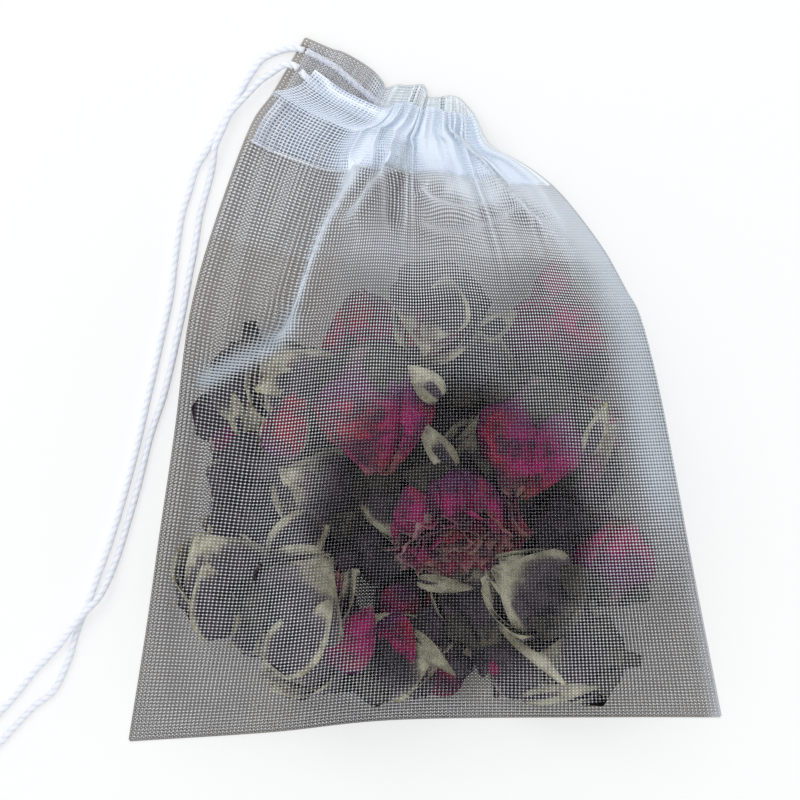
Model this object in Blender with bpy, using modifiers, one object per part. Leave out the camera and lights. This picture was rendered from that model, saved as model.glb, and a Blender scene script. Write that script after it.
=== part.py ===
"""A nylon mesh tea bag that lies on its back, drawn shut over dried rosebuds, with its cotton drawstring.

Metres. +Z is up, +Y points to the bag's mouth, and the bag's back rests on the plane z = 0.
"""

import math

import bmesh
import bpy
import numpy as np
from mathutils import Matrix, Vector
from mathutils.bvhtree import BVHTree

# Bag, as cut and sewn
BAG_WIDTH = 0.100
BAG_LENGTH = 0.120
HEM_HEIGHT = 0.019
FOLD_HEIGHT = 0.0010
CLOTH = 0.0003
GAP = 0.0003

# Weave, coarse: threads stand out as ridges and every second cell is open
ACROSS = 30
ALONG = 26
HEM_ROWS = 4
WEAVE_RIDGE = 0.00012
OPEN_COLUMNS = 12
OPEN_ROWS = 10

# Gather: pleats of the front wall, and the crease below the flat corner
PLEAT_DEPTH = 0.0024
CREASE_HEIGHT = 0.0016
CREASE_WIDTH = 0.0026

# Drawstring
CORD = 0.0011
STRAND_POINTS = 38
HELD_POINTS = 36
KNOT_LENGTH = 0.0044
KNOT_WIDTH = 0.0036
KNOT_HEIGHT = 0.0030

# Rosebuds
BUD_LENGTH = 0.0200
BUD_WIDTH = 0.0145
STEM_WIDTH = 0.0020
DRAPE_CLEARANCE = 0.0006
RELAX_STEPS = 600
CASING_RAMP = 0.06

# The lying bag's outline, as (x, y) in hundredths of the bag's width and length from its middle
LEFT_EDGE = [(-49.2, -48.8), (-46.0, -32.1), (-43.5, -11.3), (-40.5, 7.2), (-35.2, 22.8), (-29.2, 34.6), (-20.0, 48.8)]
RIGHT_EDGE = [
    (49.2, -45.4), (44.2, -23.8), (39.2, -1.5), (36.2, 9.9), (30.8, 17.6), (23.3, 26.3), (15.8, 31.4), (11.7, 33.2),
    (10.0, 34.9), (9.1, 36.4), (8.2, 37.9),
]
BOTTOM_EDGE = [(-49.2, -48.8), (-26.2, -46.9), (-15.0, -46.2), (4.7, -45.4), (31.2, -45.3), (49.2, -45.4)]

# The ruffled mouth edges: share of the bag's width, then x and y in hundredths as above
BACK_MOUTH = [
    (0.0, -20.0, 48.8), (0.05, -15.8, 47.1), (0.12, -9.2, 44.3), (0.17, -7.0, 41.5), (0.26, -3.5, 42.1),
    (0.36, -0.2, 41.9), (0.44, 0.7, 40.4), (0.56, 2.4, 40.6), (0.70, 4.3, 40.3), (0.84, 6.2, 39.6), (1.0, 8.2, 37.9),
]
FRONT_MOUTH = [
    (0.0, -17.7, 44.9), (0.05, -13.8, 42.6), (0.10, -10.2, 41.0), (0.15, -6.2, 39.6), (0.25, -4.5, 39.6),
    (0.35, -2.2, 39.6), (0.45, -0.6, 38.6), (0.55, 1.0, 39.0), (0.65, 2.6, 38.1), (0.75, 4.2, 38.3),
    (0.87, 6.1, 37.8), (1.0, 8.2, 37.9),
]
CREASE = [(-13.7, 28.3), (-16.0, 24.7), (-18.5, 15.8), (-22.0, 9.4), (-26.2, 5.1), (-32.5, 1.7), (-41.0, -0.6)]

# Levels of the cord's centreline
RADIUS = CORD / 2
ON_FLOOR = RADIUS + 0.00002
ON_CORD = ON_FLOOR + CORD + GAP
KNOT_ENTRY = 0.0012

# The casing's layers, as heights of their middles where the bag is flat
BACK_WALL = CLOTH / 2
BACK_CORD = BACK_WALL + CLOTH / 2 + GAP + RADIUS
BACK_FLAP = BACK_CORD + RADIUS + GAP + CLOTH / 2
FRONT_FLAP = BACK_FLAP + CLOTH + GAP
FRONT_CORD = FRONT_FLAP + CLOTH / 2 + GAP + RADIUS
FRONT_WALL = FRONT_CORD + RADIUS + GAP + CLOTH / 2
FLAP_SEAT = CLOTH + GAP

# Held cord inside the casing, (x, y, level) from the front's open end round the right corner to the back's
TURN_MIDDLE = (FRONT_CORD + BACK_CORD) / 2
TURN_HIGH = FRONT_CORD - 0.3 * (FRONT_CORD - TURN_MIDDLE)
TURN_LOW = BACK_CORD + 0.3 * (TURN_MIDDLE - BACK_CORD)
HELD_ROUTE = [
    (-20.7, 44.1, FRONT_CORD), (-19.6, 43.1, FRONT_CORD), (-17.5, 41.5, FRONT_CORD),
    (-14.5, 39.8, FRONT_CORD), (-10.8, 38.1, FRONT_CORD), (-6.8, 36.5, FRONT_CORD),
    (-3.3, 36.0, FRONT_CORD), (0.8, 35.8, FRONT_CORD), (4.5, 35.5, FRONT_CORD), (6.7, 34.9, FRONT_CORD),
    (7.7, 34.5, TURN_HIGH), (8.1, 34.3, TURN_MIDDLE), (7.7, 34.3, TURN_LOW), (6.8, 34.6, BACK_CORD),
    (5.0, 35.7, BACK_CORD), (2.5, 36.8, BACK_CORD), (-0.5, 37.6, BACK_CORD), (-4.2, 38.6, BACK_CORD),
    (-8.0, 39.9, BACK_CORD), (-12.0, 42.6, BACK_CORD), (-14.8, 44.6, BACK_CORD), (-17.7, 46.0, BACK_CORD),
    (-19.8, 46.9, BACK_CORD),
]

# Free strands, in metres, from the casing's open end to the knot
UPPER_ROUTE = [
    (-0.0201, 0.0564, BACK_CORD), (-0.0214, 0.0567, BACK_CORD - 0.0002), (-0.0235, 0.0565, ON_FLOOR),
    (-0.0267, 0.0552, ON_FLOOR), (-0.0283, 0.0535, ON_FLOOR), (-0.0300, 0.0508, ON_FLOOR),
    (-0.0317, 0.0475, ON_FLOOR), (-0.0335, 0.0445, ON_FLOOR), (-0.0352, 0.0415, ON_FLOOR),
    (-0.0368, 0.0390, ON_FLOOR), (-0.0382, 0.0365, ON_FLOOR), (-0.0393, 0.0327, ON_FLOOR),
    (-0.0405, 0.0288, ON_FLOOR), (-0.0415, 0.0223, ON_FLOOR), (-0.0423, 0.0157, ON_FLOOR),
    (-0.0437, 0.0092, ON_FLOOR), (-0.0448, 0.0042, ON_FLOOR), (-0.0463, -0.0023, ON_FLOOR),
    (-0.0476, -0.0082, ON_FLOOR), (-0.0498, -0.0167, ON_FLOOR), (-0.0522, -0.0248, ON_FLOOR),
    (-0.0545, -0.0312, ON_FLOOR), (-0.0562, -0.0360, ON_FLOOR), (-0.0580, -0.0405, ON_FLOOR),
    (-0.0593, -0.0450, ON_FLOOR), (-0.0618, -0.0502, ON_FLOOR), (-0.0652, -0.0530, ON_FLOOR),
    (-0.0688, -0.0568, ON_FLOOR), (-0.0712, -0.0594, ON_FLOOR), (-0.0745, -0.0619, ON_FLOOR),
    (-0.0763, -0.0635, ON_FLOOR + 0.0002), (-0.0777, -0.0647, KNOT_ENTRY),
]
LOWER_ROUTE = [
    (-0.02108, 0.05335, FRONT_CORD), (-0.0220, 0.0539, FRONT_CORD - 0.0002), (-0.0236, 0.0538, 0.0030),
    (-0.0255, 0.0526, ON_CORD), (-0.0276, 0.0511, ON_CORD), (-0.0300, 0.0486, ON_CORD),
    (-0.0325, 0.0458, ON_CORD), (-0.0337, 0.0432, ON_CORD), (-0.0349, 0.0405, ON_CORD),
    (-0.0352, 0.0380, 0.0014), (-0.0357, 0.0355, ON_FLOOR), (-0.0366, 0.0322, ON_FLOOR),
    (-0.0375, 0.0288, ON_FLOOR), (-0.0383, 0.0237, ON_FLOOR), (-0.0392, 0.0190, ON_FLOOR),
    (-0.0402, 0.0135, ON_FLOOR), (-0.0412, 0.0088, ON_FLOOR), (-0.0423, 0.0037, ON_FLOOR),
    (-0.0437, -0.0018, ON_FLOOR), (-0.0457, -0.0078, ON_FLOOR), (-0.0476, -0.0156, ON_FLOOR),
    (-0.0497, -0.0230, ON_FLOOR), (-0.0517, -0.0293, 0.0008), (-0.0540, -0.0343, ON_CORD),
    (-0.0566, -0.0372, ON_CORD), (-0.0589, -0.0400, ON_CORD), (-0.0612, -0.0430, 0.0010),
    (-0.0650, -0.0470, ON_FLOOR), (-0.0680, -0.0508, ON_FLOOR), (-0.0708, -0.0539, ON_FLOOR),
    (-0.0742, -0.0575, ON_FLOOR), (-0.0770, -0.0602, ON_FLOOR), (-0.0786, -0.0619, ON_FLOOR + 0.0002),
    (-0.0794, -0.0632, KNOT_ENTRY),
]
KNOT_CENTRE = (-0.0800, -0.0656)
KNOT_TURN = 230

# Rosebuds in the order in which they fill the bag: x and y in hundredths of the bag's width and length from
# its middle, size as a share, the way the tip points in the plane in degrees, its tilt up, and its roll
BUDS = [
    (-28.0, -0.5, 1.15, 273, 0, 0),
    (-9.5, 8.0, 0.92, 95, 6, 20),
    (5.8, 6.0, 0.92, 84, 4, 0),
    (20.6, 9.0, 1.05, 78, 2, 30),
    (-33.0, -25.0, 0.98, 118, 4, 10),
    (-20.5, -35.0, 0.95, 205, 3, 0),
    (-3.5, -37.0, 0.86, 8, 3, 0),
    (9.0, -27.0, 0.92, 100, 3, 0),
    (24.5, -37.5, 0.90, 176, 3, 0),
    (30.8, -22.5, 0.95, 70, 4, 0),
    (-17.5, -15.5, 0.92, 150, 4, 0),
    (-2.5, -17.0, 0.92, 280, 4, 0),
    (9.5, -9.0, 0.90, 92, 4, 0),
    (26.5, -7.6, 0.90, 20, 4, 0),
    (-21.5, 1.0, 0.80, 130, 15, 0),
    (2.5, 9.5, 0.86, 250, 12, 0),
    (-8.5, -4.5, 1.10, 262, 8, 0),
    (18.5, -8.0, 1.06, 252, 8, 0),
    (6.0, -19.0, 1.18, 275, 25, 0),
    (-20.5, -29.0, 0.97, 48, 8, 0),
    (17.0, -29.0, 0.88, 150, 10, 0),
]

RED_BUDS = (2, 4, 10, 11, 16, 17, 18, 19, 20)

# A bud's profile: height as a share of its length, radius as a share of half its width, petal lobe depth
STEM_SHARE = STEM_WIDTH / BUD_WIDTH
BUD_PROFILE = [
    (0.00, 0.0, 0.0), (0.03, STEM_SHARE, 0.0), (0.12, STEM_SHARE, 0.0), (0.20, 0.44, 0.0), (0.31, 0.52, 0.0),
    (0.44, 0.86, 0.05), (0.64, 0.98, 0.08), (0.86, 0.78, 0.12), (1.00, 0.44, 0.18), (0.88, 0.0, 0.0),
]
BUD_PETALS = 5
BUD_TWIST = math.radians(9)
BUD_MIDDLE = 0.62
SKIN = 0.0002


def clear_scene():
    for thing in list(bpy.data.objects):
        bpy.data.objects.remove(thing, do_unlink=True)


def material(name, colour, roughness, alpha=1.0):
    made = bpy.data.materials.new(name)
    made.use_nodes = True
    shader = made.node_tree.nodes["Principled BSDF"]
    shader.inputs["Base Color"].default_value = (*colour, 1.0)
    shader.inputs["Roughness"].default_value = roughness
    shader.inputs["Metallic"].default_value = 0.0
    shader.inputs["Alpha"].default_value = alpha
    return made


def add_object(name, mesh, finish, collection):
    made = bpy.data.objects.new(name, mesh)
    made.data.materials.append(finish)
    collection.objects.link(made)
    return made


def ease(low, high, value):
    share = np.clip((value - low) / (high - low), 0.0, 1.0)
    return share * share * (3 - 2 * share)


def smooth_line(points, steps=12):
    """A Catmull-Rom curve through the points, as many short steps between each two."""
    route = np.array(points, float)
    ends = np.vstack([2 * route[0] - route[1], route, 2 * route[-1] - route[-2]])
    line = []
    for before, start, end, after in zip(ends, ends[1:], ends[2:], ends[3:]):
        for share in np.arange(steps) / steps:
            tangent_in, tangent_out = (end - before) / 2, (after - start) / 2
            bend_a = 3 * (end - start) - 2 * tangent_in - tangent_out
            bend_b = 2 * (start - end) + tangent_in + tangent_out
            line.append(start + tangent_in * share + bend_a * share**2 + bend_b * share**3)
    line.append(route[-1])
    return np.array(line)


def at_shares(line, shares):
    """Points at these shares of the line's length."""
    steps = np.linalg.norm(np.diff(line, axis=0), axis=1)
    reached = np.concatenate([[0.0], np.cumsum(steps)]) / steps.sum()
    return np.column_stack([np.interp(shares, reached, line[:, axis]) for axis in range(line.shape[1])])


def in_metres(points):
    """Hundredths of the bag's width and length as metres; further columns stay."""
    made = np.array(points, float)
    made[:, 0] *= BAG_WIDTH / 100
    made[:, 1] *= BAG_LENGTH / 100
    return made


def mouth_line(mouth, shares):
    table = np.array(mouth)
    points = np.column_stack([np.interp(shares, table[:, 0], table[:, axis]) for axis in (1, 2)])
    return in_metres(points)


def crease(points):
    """Height of the soft crease that runs from the flat corner down to the left edge."""
    line = smooth_line(in_metres(CREASE), 6)
    away = np.min(np.linalg.norm(points[..., None, :2] - line, axis=-1), axis=-1)
    return CREASE_HEIGHT * np.exp(-((away / CREASE_WIDTH) ** 2))


def row_shares():
    """Shares of the bag's length: the wall's rows, the hem's rows and the mouth fold."""
    hem = 1 - HEM_HEIGHT / BAG_LENGTH
    top = 1 - FOLD_HEIGHT / BAG_LENGTH
    return np.concatenate([np.linspace(0, hem, ALONG + 1), np.linspace(hem, top, HEM_ROWS + 1)[1:], [1.0]])


def lying_grid(mouth, opened):
    """x and y of one wall's grid, [column, row], blended between its four edges."""
    columns = np.linspace(0, 1, ACROSS + 1)
    rows = row_shares()
    left = at_shares(smooth_line(in_metres(LEFT_EDGE)), rows)
    right = at_shares(smooth_line(in_metres(RIGHT_EDGE)), rows)
    bottom = at_shares(smooth_line(in_metres(BOTTOM_EDGE)), columns)
    if opened:
        first = ALONG + HEM_ROWS // 2
        lip = np.array([left[first], mouth_line(mouth, [0.0])[0]])
        left[first:] = at_shares(lip, (rows[first:] - rows[first]) / (1 - rows[first]))
    top = mouth_line(mouth, columns)
    a = columns[:, None, None]
    t = rows[None, :, None]
    across = (1 - a) * left[None] + a * right[None]
    along = (1 - t) * bottom[:, None] + t * top[:, None]
    corners = (1 - a) * ((1 - t) * left[0] + t * left[-1]) + a * ((1 - t) * right[0] + t * right[-1])
    return across + along - corners


def odd_columns():
    return (np.arange(ACROSS + 1) % 2)[:, None]


def pleat_heights():
    """Pleats of the front wall: every second column stands up, more so towards the mouth."""
    columns = np.linspace(0, 1, ACROSS + 1)
    across = ease(0.16, 0.30, columns) * ease(1.0, 0.92, columns)
    along = ease(0.60, 0.92, row_shares())
    return PLEAT_DEPTH * odd_columns() * across[:, None] * along[None, :]


def skin_points(mesh):
    """Sample points on a mesh: corners, edge middles and face middles."""
    corners = [vertex.co for vertex in mesh.vertices]
    edges = [(corners[a] + corners[b]) / 2 for a, b in (edge.vertices for edge in mesh.edges)]
    return corners + edges + [face.center for face in mesh.polygons]


def skin_tree(mesh):
    return BVHTree.FromPolygons([v.co for v in mesh.vertices], [f.vertices for f in mesh.polygons])


def bud_mesh(name, share):
    """One rosebud along +Z: stem, hip, and petals that close to a hollow tip."""
    rings = len(BUD_PROFILE) - 1
    sides = 2 * BUD_PETALS
    shape = bmesh.new()
    bmesh.ops.create_uvsphere(shape, u_segments=sides, v_segments=rings, radius=1)
    for corner in shape.verts:
        ring = round(math.acos(max(-1, min(1, -corner.co.z))) / math.pi * rings)
        height, radius, lobe = BUD_PROFILE[ring]
        angle = math.atan2(corner.co.y, corner.co.x)
        side = round(angle / (2 * math.pi) * sides) % sides
        reach = radius * (1 + lobe * (-1) ** side) * share * BUD_WIDTH / 2
        turn = angle + BUD_TWIST * ring
        rise = (height - BUD_MIDDLE) * share * BUD_LENGTH
        corner.co = Vector((reach * math.cos(turn), reach * math.sin(turn), rise))
    mesh = bpy.data.meshes.new(name)
    shape.to_mesh(mesh)
    shape.free()
    return mesh


def swollen(mesh, amount):
    copy = mesh.copy()
    for vertex, normal in zip(copy.vertices, [v.normal.copy() for v in mesh.vertices]):
        vertex.co += normal * amount
    return copy


def free_drop(bud, placed, floor):
    """How far the bud can sink before it meets the floor or a bud below it."""
    drop = min(vertex.co.z for vertex in bud.vertices) - floor
    down, up = Vector((0, 0, -1)), Vector((0, 0, 1))
    own = skin_tree(bud)
    for other in placed:
        tree = skin_tree(other)
        falls = [tree.ray_cast(point, down)[3] for point in skin_points(bud)]
        rises = [own.ray_cast(point, up)[3] for point in skin_points(other)]
        drop = min([drop] + [reach for reach in falls + rises if reach is not None])
    return drop


def move_up(meshes, rise):
    for mesh in meshes:
        mesh.transform(Matrix.Translation((0, 0, rise)))


def fill_with_buds(finishes, collection):
    """Drops the buds into the bag one by one, each onto the back wall or the buds below it."""
    floor = CLOTH + GAP + SKIN
    placed, buds = [], []
    for number, (x, y, share, heading, tilt, roll) in enumerate(BUDS, 1):
        mesh = bud_mesh(f"rosebud_{number:02d}", share)
        turn = Matrix.Rotation(math.radians(heading), 4, "Z") @ Matrix.Rotation(math.radians(90 - tilt), 4, "Y")
        start = Matrix.Translation((*in_metres([(x, y)])[0], 10 * BUD_LENGTH))
        mesh.transform(start @ turn @ Matrix.Rotation(math.radians(roll), 4, "Z"))
        skin = swollen(mesh, SKIN)
        move_up((mesh, skin), -free_drop(skin, placed, floor))
        while any(skin_tree(skin).overlap(skin_tree(other)) for other in placed):
            move_up((mesh, skin), SKIN)
        placed.append(skin)
        mesh.shade_smooth()
        mesh.set_sharp_from_angle(angle=math.radians(50))
        buds.append(add_object(mesh.name, mesh, finishes[number in RED_BUDS], collection))
    for skin in placed:
        bpy.data.meshes.remove(skin)
    return buds


def bud_tops(points, buds):
    """Height that the front wall has to clear at each grid point, read from the buds near it."""
    cell = max(BAG_WIDTH / ACROSS, BAG_LENGTH / ALONG)
    offsets = [(0, 0)] + [(reach * cell * math.cos(turn), reach * cell * math.sin(turn))
                          for reach in (0.35, 0.7) for turn in np.arange(8) * math.pi / 4]
    tops = np.zeros(points.shape[:2])
    high, down = 10 * BUD_LENGTH, Vector((0, 0, -1))
    trees = [skin_tree(bud.data) for bud in buds]
    for place in np.ndindex(tops.shape):
        x, y = points[place]
        for shift_x, shift_y in offsets:
            for tree in trees:
                hit = tree.ray_cast(Vector((x + shift_x, y + shift_y, high)), down)[0]
                tops[place] = max(tops[place], hit.z if hit else 0.0)
    return tops


def front_heights(points, buds):
    """The front wall's middle surface, [column, row]: stretched over the buds between the seams and the hem."""
    columns = np.linspace(0, 1, ACROSS + 1)
    ramp = np.minimum(np.minimum(columns, 1 - columns) / CASING_RAMP, 1)[:, None]
    heights = np.full(points.shape[:2], BACK_WALL)
    heights[:, ALONG:] += (FRONT_WALL - BACK_WALL) * ramp
    heights[columns < CASING_RAMP, ALONG + HEM_ROWS // 2 + 1:] = FRONT_WALL
    tops = bud_tops(points, buds)
    floor = np.where(tops > 0, tops + DRAPE_CLEARANCE + CLOTH / 2, BACK_WALL + FLAP_SEAT)
    inner = (slice(1, -1), slice(1, ALONG))
    for _ in range(RELAX_STEPS):
        spread = heights[:-2, 1:ALONG] + heights[2:, 1:ALONG] + heights[1:-1, :ALONG - 1]
        spread = (spread + heights[1:-1, 2:ALONG + 1]) / 4
        heights[inner] = np.maximum(spread, floor[inner])
    return heights


def wall_corners(shape, points, heights):
    return [[shape.verts.new((*points[i, j], heights[i, j])) for j in range(points.shape[1])]
            for i in range(points.shape[0])]


def fill_grid(shape, corners, skipped=()):
    last = len(corners) - 2
    for i, j in np.ndindex(last + 1, len(corners[0]) - 1):
        around = [corners[i][j], corners[i + 1][j], corners[i + 1][j + 1], corners[i][j + 1]]
        if (i, j) in ((0, 0), (last, 0)):
            fold = 0 if i == 0 else 1
            around = around[fold:] + around[:fold]
            shape.faces.new(around[:3])
            shape.faces.new((around[0], around[2], around[3]))
        elif (i, j) not in skipped:
            shape.faces.new(around)


def open_cells():
    """Cells of the front wall that stay open between its thread ridges."""
    first_column = (ACROSS - 2 * OPEN_COLUMNS) // 2 + 1
    first_row = (ALONG - 2 * OPEN_ROWS) // 2
    return {(first_column + 2 * i, first_row + 2 * j) for i in range(OPEN_COLUMNS) for j in range(OPEN_ROWS)}


def casing_flap(shape, corners, points, layer, seat):
    """The hem's inner ply: from the mouth fold down to the hem line, open at both ends for the cord."""
    first, last = round(0.07 * ACROSS), round(0.70 * ACROSS)
    shares = row_shares()[ALONG:-1]
    slack = np.clip(2 * (shares - shares[0]) / (shares[-1] - shares[0]), 0, 1)
    grid = []
    heights = layer * slack + seat * (1 - slack)
    for i in range(first, last + 1):
        inner = [shape.verts.new((*place, z)) for place, z in zip(points[i, ALONG:-1], heights)]
        grid.append(inner + [corners[i][-1]])
    fill_grid(shape, grid)


def bag_sheet(buds):
    """The whole bag as one open surface: back wall, front wall and both casing plies."""
    front, back = lying_grid(FRONT_MOUTH, True), lying_grid(BACK_MOUTH, False)
    front_z = front_heights(front, buds)
    front_z[:, -1] = FRONT_CORD
    front_z += pleat_heights()
    front_z[1:-1, 1:-1] += crease(front)[1:-1, 1:-1] * ease(0.0, 0.06, front_z[1:-1, 1:-1] / BUD_WIDTH)
    thread = (-1.0) ** np.add.outer(np.arange(ACROSS - 1), np.arange(ALONG - 1))
    front_z[1:-1, 1:ALONG] += WEAVE_RIDGE * (1 + thread)
    back_z = np.full(back.shape[:2], BACK_WALL)
    back_z[:, -1] = BACK_CORD
    front_z[-1] = back_z[-1]
    opened = ALONG + HEM_ROWS // 2
    front_z[0, :opened + 1] = back_z[0, :opened + 1]
    shape = bmesh.new()
    front_corners = wall_corners(shape, front, front_z)
    back_corners = wall_corners(shape, back, back_z)
    fill_grid(shape, front_corners, open_cells())
    fill_grid(shape, back_corners)
    casing_flap(shape, front_corners, front, FRONT_FLAP, FRONT_WALL - FLAP_SEAT)
    casing_flap(shape, back_corners, back, BACK_FLAP, BACK_WALL + FLAP_SEAT)
    flat = [face for face in shape.faces if lies_flat(face, back_corners)]
    bmesh.ops.dissolve_faces(shape, faces=flat, use_verts=True)
    bmesh.ops.remove_doubles(shape, verts=shape.verts[:], dist=1e-6)
    bmesh.ops.recalc_face_normals(shape, faces=shape.faces[:])
    return shape


def lies_flat(face, back_corners):
    """Whether a face is part of the back wall's flat middle, clear of its seams."""
    inner = {corner for column in back_corners[1:-1] for corner in column[1:ALONG]}
    return all(corner in inner and abs(corner.co.z - BACK_WALL) < 1e-7 for corner in face.verts)


def mesh_bag(buds, finish, collection):
    shape = bag_sheet(buds)
    mesh = bpy.data.meshes.new("mesh_bag")
    shape.to_mesh(mesh)
    shape.free()
    bag = add_object("mesh_bag", mesh, finish, collection)
    wall = bag.modifiers.new("cloth", "SOLIDIFY")
    wall.thickness = CLOTH
    wall.offset = 0
    return bag


def cord_tube(name, points, finish, collection):
    curve = bpy.data.curves.new(name, "CURVE")
    curve.dimensions = "3D"
    curve.bevel_depth = RADIUS
    curve.bevel_resolution = 2
    curve.use_fill_caps = True
    spline = curve.splines.new("POLY")
    spline.points.add(len(points) - 1)
    for knot, place in zip(spline.points, points):
        knot.co = (*place, 1)
    return add_object(name, curve, finish, collection)


def held_cord(finish, collection):
    line = smooth_line(in_metres(HELD_ROUTE))
    points = at_shares(line, np.linspace(0, 1, HELD_POINTS))
    return cord_tube("drawstring_in_casing", points, finish, collection)


def free_strand(name, route, finish, collection):
    line = smooth_line(route)
    length = np.linalg.norm(np.diff(line, axis=0), axis=1).sum()
    print(f"{name}: {length * 1000:.1f} mm long")
    return cord_tube(name, at_shares(line, np.linspace(0, 1, STRAND_POINTS)), finish, collection)


def end_knot(finish, collection):
    """Both strands tied together: a small bead of turns lying on the floor."""
    shape = bmesh.new()
    bmesh.ops.create_uvsphere(shape, u_segments=12, v_segments=8, radius=0.5)
    for corner in shape.verts:
        turn = math.atan2(corner.co.z, corner.co.y)
        waist = 1 + 0.10 * math.cos(3 * turn + 9 * corner.co.x)
        corner.co = Vector((corner.co.x * KNOT_LENGTH, corner.co.y * KNOT_WIDTH * waist, corner.co.z * KNOT_HEIGHT))
    mesh = bpy.data.meshes.new("drawstring_knot")
    shape.to_mesh(mesh)
    shape.free()
    turn = Matrix.Rotation(math.radians(KNOT_TURN), 4, "Z")
    mesh.transform(Matrix.Translation((*KNOT_CENTRE, KNOT_HEIGHT / 2 + 0.0001)) @ turn)
    mesh.shade_smooth()
    return add_object("drawstring_knot", mesh, finish, collection)


def main():
    clear_scene()
    collection = bpy.data.collections.new("nylon_tea_bag")
    bpy.context.scene.collection.children.link(collection)
    nylon = material("nylon_mesh", (0.80, 0.83, 0.86), 0.45, 0.55)
    cotton = material("cotton_cord", (0.86, 0.88, 0.93), 0.85)
    petals = [material("petal_dark", (0.11, 0.08, 0.11), 0.8), material("petal_red", (0.45, 0.05, 0.14), 0.8)]
    buds = fill_with_buds(petals, collection)
    mesh_bag(buds, nylon, collection)
    held_cord(cotton, collection)
    free_strand("drawstring_upper_strand", UPPER_ROUTE, cotton, collection)
    free_strand("drawstring_lower_strand", LOWER_ROUTE, cotton, collection)
    end_knot(cotton, collection)


main()
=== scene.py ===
# %% [markdown]
# # A mesh tea bag filled with dried rosebuds
# The bag is a flat pouch of open nylon mesh. A cotton string runs through a casing at its mouth and
# gathers it shut, and the buds push the front panel up into soft bumps. Everything is in metres, the
# bag lies on its back on z = 0, and its mouth points to +Y.
# First the script loads the solid model, whose pieces say where everything lies.

import math

import bmesh
import bpy
import numpy as np
from mathutils import Matrix, Vector
from mathutils.bvhtree import BVHTree


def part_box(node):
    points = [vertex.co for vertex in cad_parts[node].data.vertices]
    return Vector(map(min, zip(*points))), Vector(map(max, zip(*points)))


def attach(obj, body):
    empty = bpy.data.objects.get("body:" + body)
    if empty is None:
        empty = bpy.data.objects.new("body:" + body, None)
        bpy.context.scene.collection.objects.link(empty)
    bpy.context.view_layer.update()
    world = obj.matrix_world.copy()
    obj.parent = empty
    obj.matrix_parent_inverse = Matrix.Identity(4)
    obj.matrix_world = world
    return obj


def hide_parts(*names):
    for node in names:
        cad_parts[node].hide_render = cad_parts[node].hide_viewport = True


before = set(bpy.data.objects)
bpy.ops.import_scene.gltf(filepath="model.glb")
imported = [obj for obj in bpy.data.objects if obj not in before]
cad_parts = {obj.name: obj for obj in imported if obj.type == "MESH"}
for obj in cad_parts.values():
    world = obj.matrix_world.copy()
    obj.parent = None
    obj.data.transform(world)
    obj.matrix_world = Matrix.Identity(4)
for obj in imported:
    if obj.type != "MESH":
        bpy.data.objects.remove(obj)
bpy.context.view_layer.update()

# %% [markdown]
# ## The camera
# The bag is seen from straight above. A long lens far away keeps the tall buds from growing towards
# the camera, so that a millimetre on the table and one on the bag's top cover nearly the same width.

# %% Camera
VIEW_WIDTH = 0.13333
VIEW_CENTRE = (-0.00417, -0.00183)
CAMERA_HEIGHT = 1.6
SENSOR_WIDTH = 36
CLEAR_LAYERS = 96

camera_data = bpy.data.cameras.new("camera_above")
camera_data.sensor_width = SENSOR_WIDTH
camera_data.lens = SENSOR_WIDTH * CAMERA_HEIGHT / VIEW_WIDTH
camera_data.clip_start = 0.05
camera = bpy.data.objects.new("camera_above", camera_data)
camera.location = (*VIEW_CENTRE, CAMERA_HEIGHT)
bpy.context.scene.collection.objects.link(camera)
bpy.context.scene.camera = camera
bpy.context.scene.cycles.transparent_max_bounces = CLEAR_LAYERS
print("lens:", round(camera_data.lens), "mm")

# %% [markdown]
# ## Small helpers for points and meshes
# Curves through a few chosen points are drawn with the Catmull-Rom rule, which passes through every
# point. Meshes are filled from arrays, which is quick for the many points of a woven cloth.


# %% Helpers
def millimetres(points):
    """Points given in millimetres, as an array in metres."""
    return np.array(points, float) / 1000


def smooth_line(points, steps=12):
    """A Catmull-Rom curve through the points, as many short steps between each two."""
    route = np.array(points, float)
    ends = np.vstack([2 * route[0] - route[1], route, 2 * route[-1] - route[-2]])
    line = []
    for before, start, end, after in zip(ends, ends[1:], ends[2:], ends[3:]):
        for share in np.arange(steps) / steps:
            tangent_in, tangent_out = (end - before) / 2, (after - start) / 2
            bend_a = 3 * (end - start) - 2 * tangent_in - tangent_out
            bend_b = 2 * (start - end) + tangent_in + tangent_out
            line.append(start + tangent_in * share + bend_a * share**2 + bend_b * share**3)
    line.append(route[-1])
    return np.array(line)


def at_shares(line, shares):
    """Points at these shares of the line's length."""
    steps = np.linalg.norm(np.diff(line, axis=0), axis=1)
    reached = np.concatenate([[0.0], np.cumsum(steps)]) / steps.sum()
    return np.column_stack([np.interp(shares, reached, line[:, axis]) for axis in range(line.shape[1])])


def ease(low, high, value):
    """0 below low, 1 above high and a smooth rise between them."""
    share = np.clip((value - low) / (high - low), 0.0, 1.0)
    return share * share * (3 - 2 * share)


def new_piece(name, vertices, edges=(), faces=()):
    mesh = bpy.data.meshes.new(name)
    mesh.from_pydata([tuple(v) for v in vertices], [tuple(e) for e in edges], [tuple(f) for f in faces])
    mesh.update()
    piece = bpy.data.objects.new(name, mesh)
    bpy.context.scene.collection.objects.link(piece)
    return piece


def add_attribute(mesh, name, values, kind="FLOAT_VECTOR", domain="POINT"):
    attribute = mesh.attributes.new(name, kind, domain)
    field = "vector" if kind == "FLOAT_VECTOR" else "value"
    attribute.data.foreach_set(field, np.asarray(values).ravel())


def triangles_of(piece):
    piece.data.calc_loop_triangles()
    return len(piece.data.loop_triangles)


def lowest_point(piece):
    return min(vertex.co.z for vertex in piece.data.vertices)


def stacked(*parts):
    """Arrays that are spread to one shape and put side by side in a last axis."""
    return np.stack(np.broadcast_arrays(*parts), axis=-1)


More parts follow.
